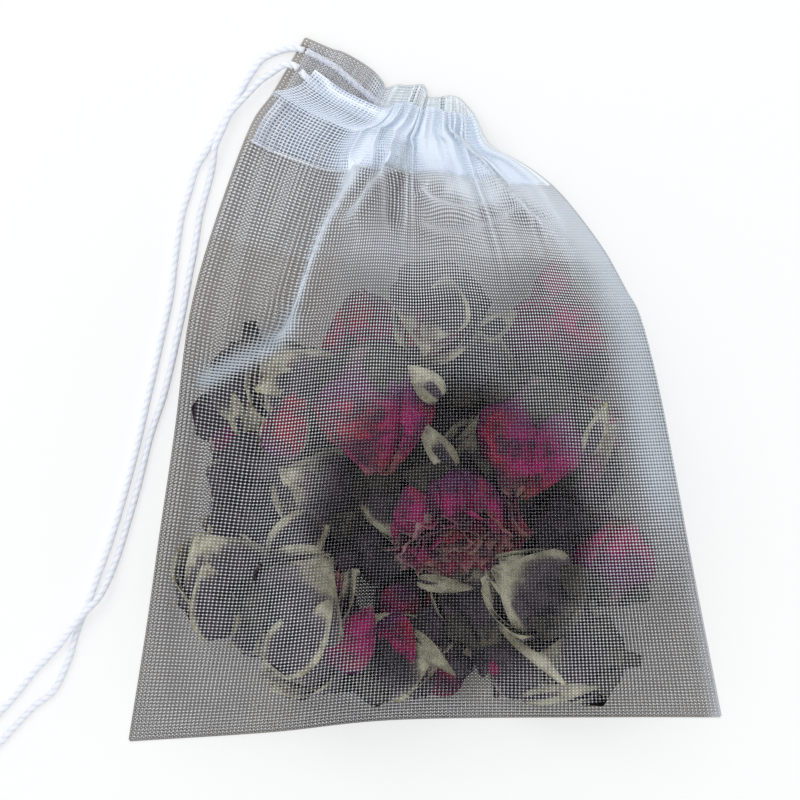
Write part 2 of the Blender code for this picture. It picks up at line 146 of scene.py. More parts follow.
# %% [markdown]
# ## Node trees as Python
# A node tree is easier to read as a formula. `Wire` wraps a socket, so `1 - mask * 0.5` adds the Math
# nodes by itself. `Graph.add` adds any other node and links its inputs by name or number. `Nodes` is
# the graph of one material, whose colours are blended with `mix`.


# %% Node helpers
class Wire:
    """A node's output that can be used in Python arithmetic."""

    def __init__(self, nodes, socket):
        self.nodes, self.socket = nodes, socket

    def _maths(self, operation, *values):
        return self.nodes.add("ShaderNodeMath", {"operation": operation}, *values)

    def __add__(self, other):
        return self._maths("ADD", self, other)

    def __radd__(self, other):
        return self._maths("ADD", other, self)

    def __sub__(self, other):
        return self._maths("SUBTRACT", self, other)

    def __rsub__(self, other):
        return self._maths("SUBTRACT", other, self)

    def __mul__(self, other):
        return self._maths("MULTIPLY", self, other)

    def __rmul__(self, other):
        return self._maths("MULTIPLY", other, self)

    def __truediv__(self, other):
        return self._maths("DIVIDE", self, other)

    def __pow__(self, other):
        return self._maths("POWER", self, other)


class Graph:
    """Adds nodes to one tree. A node's inputs are wires, which get linked, or plain values."""

    def __init__(self, tree):
        self.tree = tree

    def add(self, kind, settings, *values, output=0, **named):
        node = self.tree.nodes.new(kind)
        for key, value in settings.items():
            setattr(node, key, value)
        for key, value in [*enumerate(values), *named.items()]:
            self.feed(node.inputs[key.replace("_", " ") if isinstance(key, str) else key], value)
        return Wire(self, node.outputs[output])

    def feed(self, socket, value):
        if isinstance(value, Wire):
            self.tree.links.new(value.socket, socket)
        elif value is not None:
            socket.default_value = value

    def given(self, name):
        """One of the inputs of a Geometry Nodes group."""
        return self.add("NodeGroupInput", {}, output=name)

    def hand_over(self, geometry):
        """Gives the geometry its finish and makes it the group's result."""
        real = self.add("GeometryNodeRealizeInstances", {}, geometry)
        dressed = self.add("GeometryNodeSetMaterial", {}, Geometry=real, Material=self.given("Finish"))
        self.feed(self.tree.nodes.new("NodeGroupOutput").inputs[0], dressed)
        return self.tree


class Nodes(Graph):
    """Builds one material's node tree around its Principled BSDF."""

    def __init__(self, name):
        self.material = bpy.data.materials.new(name)
        self.material.use_nodes = True
        super().__init__(self.material.node_tree)
        self.shader = self.tree.nodes["Principled BSDF"]

    def set(self, **values):
        for key, value in values.items():
            self.feed(self.shader.inputs[key.replace("_", " ")], value)

    def mix(self, share, first, second):
        node = self.tree.nodes.new("ShaderNodeMix")
        node.data_type = "RGBA"
        for name, value in (("Factor_Float", share), ("A_Color", first), ("B_Color", second)):
            socket = next(s for s in node.inputs if s.identifier == name)
            self.feed(socket, (*value, 1.0) if isinstance(value, tuple) and len(value) == 3 else value)
        return Wire(self, next(s for s in node.outputs if s.identifier == "Result_Color"))

    def step(self, low, high, value):
        settings = {"interpolation_type": "SMOOTHSTEP"}
        return self.add("ShaderNodeMapRange", settings, Value=value, From_Min=low, From_Max=high)

    def attribute(self, name):
        """The three numbers that the mesh stores at a point under this name."""
        vector = self.add("ShaderNodeAttribute", {"attribute_name": name}, output="Vector")
        split = self.add("ShaderNodeSeparateXYZ", {}, vector).socket.node
        return [Wire(self, split.outputs[axis]) for axis in range(3)]

    def noise(self, vector, scale, detail=3.0):
        return self.add("ShaderNodeTexNoise", {}, Vector=vector, Scale=scale, Detail=detail)

    def place(self):
        spot = self.add("ShaderNodeTexCoord", {}, output="Object")
        return self.add("ShaderNodeMapping", {}, Vector=spot)

    def bump(self, height, strength, distance):
        return self.add("ShaderNodeBump", {}, Height=height, Strength=strength, Distance=distance)

    def crosswise(self):
        """How far to the right a point lies."""
        return self.add("ShaderNodeSeparateXYZ", {}, self.place(), output=0)


# %% [markdown]
# ## The string
# The drawstring is white cotton, two plies twisted round each other. Both ends leave the casing at the
# left corner, run side by side down the table, cross once, and end in one knot. A tube with a round
# section would look like wire, so its section has two lobes and turns as it goes along the route.

# %% The string's route
CORD = 0.0011
BACK_CORD = 0.00115
FRONT_CORD = 0.00375
ON_TABLE = CORD / 2 + 0.00002
ON_STRING = ON_TABLE + CORD + 0.0003
KNOT_ENTRY = 0.0012


def laid(rows, height):
    """A route from x and y in mm, at this height unless a row gives its own in metres."""
    return [(row[0] / 1000, row[1] / 1000, row[2] if len(row) > 2 else height) for row in rows]


UPPER_ROUTE = laid([
    (-20.1, 56.4, BACK_CORD), (-21.4, 56.7, BACK_CORD - 0.0002), (-23.5, 56.5), (-26.7, 55.2), (-28.3, 53.5),
    (-30.0, 50.8), (-31.7, 47.5), (-33.5, 44.5), (-35.2, 41.5), (-36.8, 39.0), (-38.2, 36.5), (-39.3, 32.7),
    (-40.5, 28.8), (-41.5, 22.3), (-42.3, 15.7), (-43.7, 9.2), (-44.8, 4.2), (-46.3, -2.3), (-47.6, -8.2),
    (-49.8, -16.7), (-52.2, -24.8), (-54.5, -31.2), (-56.2, -36.0), (-58.0, -40.5), (-59.3, -45.0),
    (-61.8, -50.2), (-65.2, -53.0), (-68.8, -56.8), (-71.2, -59.4), (-74.5, -61.9),
    (-76.3, -63.5, ON_TABLE + 0.0002), (-77.7, -64.7, KNOT_ENTRY),
], ON_TABLE)
LOWER_ROUTE = laid([
    (-21.08, 53.35, FRONT_CORD), (-22.0, 53.9, FRONT_CORD - 0.0002), (-23.6, 53.8, 0.0030),
    (-25.5, 52.6, ON_STRING), (-27.6, 51.1, ON_STRING), (-30.0, 48.6, ON_STRING), (-32.5, 45.8, ON_STRING),
    (-33.7, 43.2, ON_STRING), (-34.9, 40.5, ON_STRING), (-35.2, 38.0, 0.0014), (-35.7, 35.5), (-36.6, 32.2),
    (-37.5, 28.8), (-38.3, 23.7), (-39.2, 19.0), (-40.2, 13.5), (-41.2, 8.8), (-42.3, 3.7), (-43.7, -1.8),
    (-45.7, -7.8), (-47.6, -15.6), (-49.7, -23.0), (-51.7, -29.3, 0.0008), (-54.0, -34.3, ON_STRING),
    (-56.6, -37.2, ON_STRING), (-58.9, -40.0, ON_STRING), (-61.2, -43.0, 0.0010), (-65.0, -47.0),
    (-68.0, -50.8), (-70.8, -53.9), (-74.2, -57.5), (-77.0, -60.2), (-78.6, -61.9, ON_TABLE + 0.0002),
    (-79.4, -63.2, KNOT_ENTRY),
], ON_TABLE)


def line_length(line):
    return float(np.linalg.norm(np.diff(line, axis=0), axis=1).sum())


print("upper strand:", round(line_length(smooth_line(UPPER_ROUTE)) * 1000), "mm")

# %% [markdown]
# The sweep below carries a ring of points along the route. The ring keeps its direction from step to
# step, which stops it from spinning by itself, and its two lobes turn once round in each lay length. What
# would reach below the table is pressed flat on it.

# %% Twisted string
LAY_LENGTH = 0.0029
RING_POINTS = 16
RING_STEP = 0.00032
VALLEY = 0.90
PLY_RISE = 0.12


def carried_frames(line):
    """Two directions across the line at each of its points, carried along without spin."""
    ahead = np.gradient(line, axis=0)
    ahead /= np.linalg.norm(ahead, axis=1)[:, None]
    side = np.cross(ahead[0], (0, 0, 1.0))
    sides = []
    for direction in ahead:
        side = side - direction * (side @ direction)
        side = side / np.linalg.norm(side)
        sides.append(side)
    sides = np.array(sides)
    return sides, np.cross(ahead, sides)


def twisted_tube(name, route, radius, plies=2, lay=LAY_LENGTH, taper=(1.0, 1.0)):
    line = smooth_line(route, 8)
    count = max(8, int(line_length(line) / RING_STEP))
    line = at_shares(line, np.linspace(0, 1, count))
    sides, ups = carried_frames(line)
    turn = np.linspace(0, 2 * math.pi, RING_POINTS, endpoint=False)
    along = np.linspace(0, line_length(line), count)[:, None]
    angle = turn[None, :]
    lobes = np.abs(np.cos(plies / 2 * (angle - 2 * math.pi * along / lay)))
    reach = radius * (VALLEY + PLY_RISE * lobes**0.7) * np.linspace(*taper, count)[:, None]
    rings = line[:, None] + sides[:, None] * (reach * np.cos(angle))[..., None]
    rings = rings + ups[:, None] * (reach * np.sin(angle))[..., None]
    rings[..., 2] = np.maximum(rings[..., 2], 0)
    vertices = np.vstack([rings.reshape(-1, 3), line[:1], line[-1:]])
    faces = []
    for ring in range(count - 1):
        for k in range(RING_POINTS):
            low, high = ring * RING_POINTS + k, ring * RING_POINTS + (k + 1) % RING_POINTS
            faces.append((low, low + RING_POINTS, high + RING_POINTS, high))
    first, last = count * RING_POINTS, (count - 1) * RING_POINTS
    for k in range(RING_POINTS):
        faces.append((k, (k + 1) % RING_POINTS, first))
        faces.append((last + (k + 1) % RING_POINTS, last + k, first + 1))
    piece = new_piece(name, vertices, faces=faces)
    weave = stacked(along / lay, angle / (2 * math.pi), lobes).reshape(-1, 3)
    add_attribute(piece.data, "ply", np.vstack([weave, weave[:1], weave[-1:]]))
    turn_outwards(piece)
    piece.data.shade_smooth()
    return piece, line


def turn_outwards(piece):
    """Welds points that lie on each other, such as a pole's, and turns every face outwards."""
    shape = bmesh.new()
    shape.from_mesh(piece.data)
    bmesh.ops.remove_doubles(shape, verts=shape.verts[:], dist=1e-7)
    bmesh.ops.recalc_face_normals(shape, faces=shape.faces[:])
    shape.to_mesh(piece.data)
    shape.free()


def cotton_finish():
    """White twisted cotton: painted pale-blue shade in the valleys between the plies, with fine fibres along
    them.
    """
    cotton = Nodes("twisted_cotton")
    along, around, lobe = cotton.attribute("ply")
    spun = cotton.add("ShaderNodeCombineXYZ", {}, along * 2 + around * 2, around * 40, 0.0)
    fibres = cotton.noise(spun, 3.0)
    valley_shade = 1 - cotton.step(0.15, 0.85, lobe)
    # The pale blue in the valleys between the plies is painted shade.
    colour = cotton.mix(valley_shade * 0.42, (0.93, 0.95, 1.0), (0.60, 0.66, 0.82))
    colour = cotton.mix(cotton.step(0.45, 0.75, fibres) * 0.25, colour, (0.74, 0.78, 0.86))
    cotton.set(Base_Color=colour, Roughness=0.9, Normal=cotton.bump(fibres, 0.5, 0.0001))
    cotton.set(Sheen_Weight=0.3, Sheen_Roughness=0.6)
    return cotton.material


cotton = cotton_finish()
upper_strand, upper_line = twisted_tube("string_upper_strand", UPPER_ROUTE, CORD / 2)
lower_strand, lower_line = twisted_tube("string_lower_strand", LOWER_ROUTE, CORD / 2)
for strand in (upper_strand, lower_strand):
    strand.data.materials.append(cotton)
print("string triangles:", triangles_of(upper_strand), triangles_of(lower_strand))

# %% [markdown]
# ## The knot
# Both ends are tied together in an overhand knot, a small bead in which the string turns nearly three
# times round itself, with two short cut ends. It lies on the table just past the left edge of the picture.

# %% Knot
KNOT_CENTRE = (-0.0800, -0.0656, 0.0016)
KNOT_TURN = math.radians(230)
KNOT_STEPS = 40
KNOT_TURNS = 2.6
COIL_ACROSS = 0.00105
COIL_UP = 0.00082
COIL_START = -0.0013
COIL_STRAND = 0.00060
COIL_LAY = 0.0038
TAIL_FLARE = (1.0, 1.25)
TAILS = (
    # spread and reach
    (0.0006, 0.0040),
    (-0.0007, 0.0034),
)


def knot_point(along, across, up):
    x, y, z = KNOT_CENTRE
    turn, side = math.cos(KNOT_TURN), math.sin(KNOT_TURN)
    return (x + along * turn - across * side, y + along * side + across * turn, z + up)


def knot_turns():
    """A coil of turns round the knot's axis."""
    turns = []
    for share in np.arange(KNOT_STEPS) / (KNOT_STEPS - 1):
        angle = share * 2 * math.pi * KNOT_TURNS
        along = COIL_START * (1 - 2 * share)
        turns.append(knot_point(along, COIL_ACROSS * math.cos(angle), COIL_UP * math.sin(angle)))
    return turns


knot, _ = twisted_tube("string_knot", knot_turns(), COIL_STRAND, lay=COIL_LAY)
tails = []
for number, (spread, reach) in enumerate(TAILS, 1):
    route = [
        knot_point(-0.0006, spread * 0.3, -0.0001),
        knot_point(0.0012, spread * 0.7, -0.0004),
        knot_point(0.0026, spread * 1.8, -0.0009),
        knot_point(reach, spread * 3.0, -0.00085),
    ]
    tail, _ = twisted_tube(f"string_tail_{number}", route, CORD / 2, taper=TAIL_FLARE)
    tails.append(tail)
for piece in (knot, *tails):
    piece.data.materials.append(cotton)
print("knot triangles:", triangles_of(knot))

# %% [markdown]
# ## The string inside the casing
# Between its two ends the string runs through the front casing to the right corner, turns, and comes
# back through the back casing. It shows through the mesh as a pale line, so it gets the same twist.

# %% Held string
TURN_MIDDLE = (FRONT_CORD + BACK_CORD) / 2
TURN_HIGH = FRONT_CORD - 0.3 * (FRONT_CORD - TURN_MIDDLE)
TURN_LOW = BACK_CORD + 0.3 * (TURN_MIDDLE - BACK_CORD)
HELD_ROUTE = laid([
    (-20.7, 52.9), (-19.6, 51.7), (-17.5, 49.8), (-14.5, 47.8), (-10.8, 45.7), (-6.8, 43.8), (-3.3, 43.2),
    (0.8, 43.0), (4.5, 42.6), (6.7, 41.9), (7.7, 41.4, TURN_HIGH), (8.1, 41.2, TURN_MIDDLE),
], FRONT_CORD) + laid([
    (7.7, 41.2, TURN_LOW), (6.8, 41.5), (5.0, 42.8), (2.5, 44.2), (-0.5, 45.1), (-4.2, 46.3), (-8.0, 47.9),
    (-12.0, 51.1), (-14.8, 53.5), (-17.7, 55.2), (-19.8, 56.3),
], BACK_CORD)
held_string, _ = twisted_tube("string_in_casing", HELD_ROUTE, CORD / 2)
held_string.data.materials.append(cotton)

# %% [markdown]
# ## The rosebuds
# Each bud is petals in rings round a closed heart, on a cone-shaped hip with narrow sepals and a bit of
# stem. A petal is one small grid that wraps round the bud's axis. Its sides roll outwards a little and
# its surface is crinkled, as dried petals are. One petal function makes pointed buds and open roses.

# %% One petal
PETAL_ACROSS = 13
PETAL_ALONG = 13


def crinkle(across, along, seed):
    """Smooth waves from a few fixed directions, different for each seed."""
    pick = np.random.default_rng(seed)
    height = np.zeros(np.broadcast(across, along).shape)
    for size in (2.0, 3.4, 5.6, 8.0):
        turn, shift = pick.uniform(0, math.pi), pick.uniform(0, 6.28)
        height += np.sin(size * (across * math.cos(turn) + 1.6 * along * math.sin(turn)) + shift) / size
    return height


def petal(centre, half, reach, tall, closing, roll, pointed, ruffle, lift, seed):
    """One petal's grid of points and its (rim, along, shade) values, round the +Z axis."""
    worn = np.random.default_rng(seed + 1000).uniform(0.72, 1.0, 2)
    across = np.linspace(-1, 1, PETAL_ACROSS)[:, None]
    along = np.linspace(0, 1, PETAL_ALONG)[None, :]
    leaf = np.sin(math.pi * (0.05 + 0.93 * along) ** 0.80) ** 0.75
    fan = np.sin(math.pi * (0.10 + 0.55 * along)) ** 0.8
    width = pointed * leaf + (1 - pointed) * fan
    angle = centre + half * across * width
    barrel = 0.50 + 0.50 * ease(0.0, 0.45, along)
    barrel = barrel - closing * np.clip((along - 0.42) / 0.58, 0, 1) ** 1.8
    tip = np.clip((along - 0.72) / 0.28, 0, 1)
    sides = np.clip((np.abs(across) - 0.50) / 0.50, 0, 1) ** 2 * ease(0.15, 0.6, along)
    radius = barrel + roll * (tip**1.6 * (1 - pointed) + 0.8 * sides) + 0.09 * across * ease(0.1, 0.6, along)
    radius = radius + ruffle * crinkle(across * 3.0, along * 1.5, seed) * (0.2 + along**1.5)
    radius = np.maximum(radius + 0.035 * crinkle(across * 6, along * 5, seed + 3), 0.03) * reach
    rise = tall * (along - 0.10 * (1 - pointed) * across**2 * along**3 - roll * 0.25 * tip**2 * (1 - pointed))
    rise = rise + lift + tall * ruffle * 0.6 * crinkle(across * 4, along, seed + 7) * along**3
    points = stacked(radius * np.cos(angle), radius * np.sin(angle), rise)
    rim = np.where(across < 0, worn[0], worn[1]) * np.abs(across) * ease(0.0, 0.5, along)
    rim = np.maximum(1 - (1 - along) * 0.9, rim)
    return points, stacked(rim, along, 0)


# %% [markdown]
# A bud is rings of petals, each ring a little wider than the one before and turned so that its petals
# cover the gaps. A shut bud has few large pointed petals that close over the tip, and a round one has
# blunt petals. An open rose has many short ruffled ones, whose rims roll back. The last ring is turned so
# that one of its petals faces up.

# %% One bud
BUD_LENGTH = 0.0200
BUD_WIDTH = 0.0145
BUD_MIDDLE = 0.62
BLOOM_START = 0.20
SEPALS = 5
SHUT_RINGS = [
    # petals, reach, tall, half width, closing, roll, pointed, ruffle
    (3, 0.45, 0.92, 78, 0.38, 0.00, 0.6, 0.05),
    (3, 0.68, 0.99, 74, 0.66, 0.05, 0.8, 0.05),
    (3, 0.88, 1.02, 72, 0.74, 0.12, 0.9, 0.05),
    (3, 1.04, 1.00, 66, 0.70, 0.20, 1.0, 0.05),
]
ROUND_RINGS = [
    (3, 0.50, 0.92, 84, 0.50, 0.00, 0.3, 0.06),
    (3, 0.74, 1.00, 90, 0.82, 0.02, 0.3, 0.07),
    (3, 0.92, 1.03, 86, 0.90, 0.04, 0.4, 0.08),
    (3, 1.04, 1.02, 80, 0.90, 0.06, 0.4, 0.08),
]
OPEN_RINGS = [
    (3, 0.24, 0.84, 80, 0.15, 0.10, 0.0, 0.10),
    (4, 0.40, 0.90, 70, 0.22, 0.18, 0.0, 0.14),
    (5, 0.58, 0.92, 58, 0.28, 0.24, 0.0, 0.17),
    (5, 0.76, 0.92, 56, 0.34, 0.26, 0.1, 0.16),
    (5, 0.92, 0.93, 54, 0.40, 0.22, 0.2, 0.14),
]

HIP = [(0.17, 0.24), (0.20, 0.40), (0.26, 0.56), (0.32, 0.62), (0.38, 0.52), (0.41, 0.0)]


class Shape:
    """Collects grids of points into one mesh's lists."""

    def __init__(self):
        self.points, self.values, self.edges, self.faces, self.slots = [], [], [], [], []

    def grid(self, points, values, edge=(0.8, 1.0, 0.0), slot=0, closed=False):
        start = len(self.points)
        rows, columns = points.shape[:2]
        self.points.extend(points.reshape(-1, 3))
        self.values.extend(values.reshape(-1, 3))
        self.edges.extend([edge] * (rows * columns))
        for i in range(rows if closed else rows - 1):
            for j in range(columns - 1):
                a, b = start + i * columns + j, start + (i + 1) % rows * columns + j
                self.faces.append((a, b, b + 1, a + 1))
                self.slots.append(slot)

    def piece(self, name, turn=None):
        points = np.array(self.points)
        piece = new_piece(name, points if turn is None else points @ turn.T, faces=self.faces)
        piece.data.polygons.foreach_set("material_index", self.slots)
        add_attribute(piece.data, "petal", self.values)
        add_attribute(piece.data, "edge", self.edges)
        turn_outwards(piece)
        return piece


def turned(profile, sides, seed, ridges):
    """A turned shape from (height, radius) pairs, a little out of round."""
    heights, radii = np.array(profile).T
    angle = np.linspace(0, 2 * math.pi, sides, endpoint=False)[:, None]
    wobble = 1 + 0.05 * np.sin(2 * angle + seed) + ridges * np.sin(5 * angle)
    radius = radii[None, :] * wobble
    return stacked(radius * np.cos(angle), radius * np.sin(angle), heights[None, :])


def bud_shape(share, openness, shades, stem, seed):
    """A whole bud with its middle at the origin and its tip at +Z."""
    pick = np.random.default_rng(seed)
    length = BUD_LENGTH * share
    reach = BUD_WIDTH * share / 2 * (1.06 + 0.10 * openness)
    base, bloom = (BLOOM_START - BUD_MIDDLE) * length, (1.03 - BLOOM_START) * length
    bud = Shape()
    rings = OPEN_RINGS if openness > 0.3 else ROUND_RINGS if shades[1] > 0.6 else SHUT_RINGS
    for ring, (count, wide, tall, half, closing, roll, pointed, ruffle) in enumerate(rings):
        outer = ring / (len(rings) - 1)
        for number in range(count):
            centre = math.pi + ring * 0.9 + number * 2 * math.pi / count
            if ring == len(rings) - 1:
                centre = math.pi + number * 2 * math.pi / count + pick.uniform(-0.12, 0.12)
            half_width = math.radians(half + pick.uniform(-5, 5))
            height = bloom * tall * pick.uniform(0.94, 1.03)
            shut = closing - 0.25 * openness * outer
            points, values = petal(
                centre, half_width, reach * (wide + 0.012 * number), height, shut, roll * (0.7 + openness),
                pointed, ruffle, base, seed * 50 + ring * 9 + number,
            )
            shade = shades[0] + (shades[1] - shades[0]) * outer + pick.uniform(-0.10, 0.10)
            values[..., 2] = np.clip(shade, 0, 1)
            pale = pick.uniform(0.75, 1.0) if shade < 0.6 else pick.uniform(0.0, 0.5)
            start = 0.88 - 0.10 * outer if shade < 0.6 else 0.95
            bud.grid(points, values, (start + pick.uniform(-0.03, 0.03), pale, pick.uniform()))
    for number in range(SEPALS):
        centre = number * 2 * math.pi / SEPALS + pick.uniform(-0.2, 0.2)
        points, values = petal(
            centre, math.radians(24), reach * pick.uniform(1.0, 1.12), bloom * pick.uniform(0.32, 0.55),
            0.06, 0.05, 1.0, 0.08, base - 0.02 * length, seed * 90 + number,
        )
        bud.grid(points, values, slot=1)
    low = -BUD_MIDDLE * length
    foot = low + (1 - stem) * 0.13 * length
    stalk = [(foot, 0.0), (foot + 0.0001, reach * 0.17), (foot + 0.03 * length, reach * 0.15)]
    hip = [(low + height * length, reach * wide) for height, wide in HIP]
    points = turned(stalk + hip, 16, seed, 0.05)
    bud.grid(points, stacked(np.zeros(points.shape[:2]), 0.5, 0), slot=1, closed=True)
    return bud


# %% [markdown]
# Dried petals keep a strong colour where they were sheltered and turn grey and purple outside, and this
# kind of rose has pale gold edges. The material reads the petal's own values: how near a point is to
# the rim, how far along the petal it is, and the petal's shade between dusky purple and magenta.

# %% Petal and calyx finishes
def petal_finish():
    petals = Nodes("dried_petal")
    rim, along, shade = petals.attribute("petal")
    spot = petals.place()
    blotches = petals.noise(spot, 300.0, 4.0)
    large = petals.noise(spot, 90.0, 2.0)
    fine = petals.noise(spot, 1300.0, 4.0)
    streaks = petals.noise(petals.add("ShaderNodeCombineXYZ", {}, rim * 5, along * 1.5, shade * 9), 7.0, 5.0)
    dusky = petals.mix(petals.step(0.35, 0.72, blotches), (0.010, 0.007, 0.012), (0.060, 0.043, 0.060))
    crimson = petals.mix(petals.step(0.42, 0.58, large), (0.30, 0.006, 0.105), (0.24, 0.006, 0.030))
    bright = petals.mix(petals.step(0.34, 0.62, blotches), (0.045, 0.004, 0.026), crimson)
    low = petals.step(0.30, 0.62, along + (large - 0.5) * 0.8)
    bright = petals.mix(low, (0.080, 0.010, 0.072), bright)
    body = petals.mix(petals.step(0.25, 0.75, shade), dusky, bright)
    body = petals.mix(petals.step(0.50, 0.75, streaks) * 0.5, body, (0.020, 0.008, 0.016))
    body = petals.mix((1 - petals.step(0.0, 0.30, along)) * 0.5, body, (0.16, 0.145, 0.085))
    ragged = rim + (fine - 0.5) * 0.08 + (blotches - 0.5) * 0.14
    edge, pale, own = petals.attribute("edge")
    body = petals.mix(petals.step(-0.16, 0.0, ragged - edge) * 0.40 * pale, body, (0.13, 0.10, 0.095))
    gold = petals.mix(petals.step(0.35, 0.7, blotches), (0.22, 0.20, 0.135), (0.52, 0.50, 0.36))
    worn = petals.step(0.15, 0.45, along + (large - 0.5) * 0.9 + own * 0.2)
    colour = petals.mix(petals.step(-0.05, 0.08, ragged - edge) * pale * worn, body, gold)
    height = streaks * 0.6 + fine * 0.4
    petals.set(Base_Color=colour, Roughness=0.7, Normal=petals.bump(height, 0.8, 0.0004))
    petals.set(Specular_IOR_Level=0.25)
    return petals.material


def calyx_finish():
    calyx = Nodes("dried_calyx")
    spot = calyx.place()
    blotches = calyx.noise(spot, 420.0, 4.0)
    streaks = calyx.noise(spot, 1500.0, 3.0)
    colour = calyx.mix(calyx.step(0.35, 0.7, blotches), (0.012, 0.010, 0.010), (0.042, 0.036, 0.026))
    colour = calyx.mix(calyx.step(0.55, 0.8, streaks) * 0.4, colour, (0.09, 0.08, 0.05))
    calyx.set(Base_Color=colour, Roughness=0.8, Normal=calyx.bump(streaks, 0.6, 0.0002))
    calyx.set(Specular_IOR_Level=0.25)
    return calyx.material


dried_petal, dried_calyx = petal_finish(), calyx_finish()

# %% [markdown]
# The table below gives each bud's size, the way its tip points, its tilt and roll, how open it is, the
# shades of its inner and outer petals, and how much of its stem is left. A bud is built upright and
# turned. The cloth presses it down to about the height of its solid in the model, and it moves so that
# its middle falls on the solid's middle.

# %% Place the buds
BUDS = [
    # size, heading, tilt, roll, openness, inner shade, outer shade, stem
    (0.86, 275, 0, 36, 0.0, 0.3, 0.05, 1.0),
    (0.98, 100, 6, 20, 0.1, 0.9, 0.80, 0.0),
    (0.96, 84, 4, 0, 0.0, 0.5, 0.05, 0.0),
    (1.08, 76, 2, 30, 0.0, 1.0, 1.00, 0.0),
    (0.95, 118, 4, 10, 0.2, 0.3, 0.05, 0.2),
    (1.00, 205, 3, 0, 0.1, 0.7, 0.10, 0.0),
    (0.89, 8, 3, 0, 0.1, 0.8, 0.10, 0.0),
    (1.00, 100, 3, 0, 0.0, 0.2, 0.05, 0.0),
    (0.87, 176, 3, 0, 0.1, 0.6, 0.10, 1.0),
    (0.84, 75, 4, 20, 0.1, 1.0, 0.97, 0.0),
    (0.98, 150, 4, 0, 0.1, 0.9, 0.10, 0.0),
    (0.98, 280, 4, 0, 0.0, 0.3, 0.05, 0.0),
    (0.98, 92, 4, 0, 0.0, 0.6, 0.10, 0.0),
    (0.96, 20, 4, 0, 0.1, 0.9, 0.50, 0.0),
    (0.88, 130, 15, 0, 0.2, 0.8, 0.20, 0.0),
    (0.92, 250, 12, 0, 0.2, 0.9, 0.20, 0.0),
    (1.20, 272, 8, 25, 0.2, 1.0, 1.00, 0.0),
    (1.14, 250, 8, 40, 0.2, 1.0, 1.00, 0.0),
    (1.06, 275, 25, 0, 1.0, 1.0, 0.97, 0.0),
    (1.04, 48, 8, 0, 0.2, 0.9, 0.10, 0.0),
    (0.96, 150, 10, 0, 0.0, 0.6, 0.10, 0.0),
]
PETAL_THICKNESS = 0.00014
SQUASH_ROOM = 1.10
BUD_FLOOR = 0.0006
PETAL_FLOOR = 0.0007


def bud_turn(heading, tilt, roll):
    turn = Matrix.Rotation(math.radians(heading), 4, "Z") @ Matrix.Rotation(math.radians(90 - tilt), 4, "Y")
    return np.array((turn @ Matrix.Rotation(math.radians(roll), 4, "Z")).to_3x3())


def middle_of(piece):
    spots = np.array([v.co for v in piece.data.vertices])
    return (spots.min(axis=0) + spots.max(axis=0)) / 2


roses = []
for number, (share, heading, tilt, roll, openness, inner, outer, stem) in enumerate(BUDS, 1):
    shape = bud_shape(share, openness, (inner, outer), stem, number)
    rose = shape.piece(f"rose_{number:02d}", bud_turn(heading, tilt, roll))
    low, high = (np.array(corner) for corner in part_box(f"rosebud_{number:02d}"))
    heights = [v.co.z for v in rose.data.vertices]
    squash = min(1.0, SQUASH_ROOM * (high[2] - low[2]) / (max(heights) - min(heights)))
    rose.data.transform(Matrix.Diagonal((1, 1, squash, 1)))
    shift = (low + high) / 2 - middle_of(rose)
    shift[2] += max(0.0, BUD_FLOOR - lowest_point(rose) - shift[2])
    rose.data.transform(Matrix.Translation(shift))
    rose.data.materials.append(dried_petal)
    rose.data.materials.append(dried_calyx)
    rose.data.shade_smooth()
    roses.append(rose)
print("roses:", len(roses), "with", sum(triangles_of(rose) for rose in roses), "triangles before thickness")


def solid_tree(pieces):
    points, faces = [], []
    for piece in pieces:
        start = len(points)
        points.extend(vertex.co.copy() for vertex in piece.data.vertices)
        faces.extend(tuple(corner + start for corner in face.vertices) for face in piece.data.polygons)
    return BVHTree.FromPolygons(points, faces)


def top_at(tree, x, y):
    hit = tree.ray_cast(Vector((x, y, 0.1)), Vector((0, 0, -1)))[0]
    return hit.z if hit else 0.0


# %% [markdown]
# Petals that came off lie between the buds and close the gaps, so that the pile looks dark and dense.
# The first table names the pale-edged ones on top of the pile. Many dark ones are strewn below them
# with a fixed seed, only where the pile is.

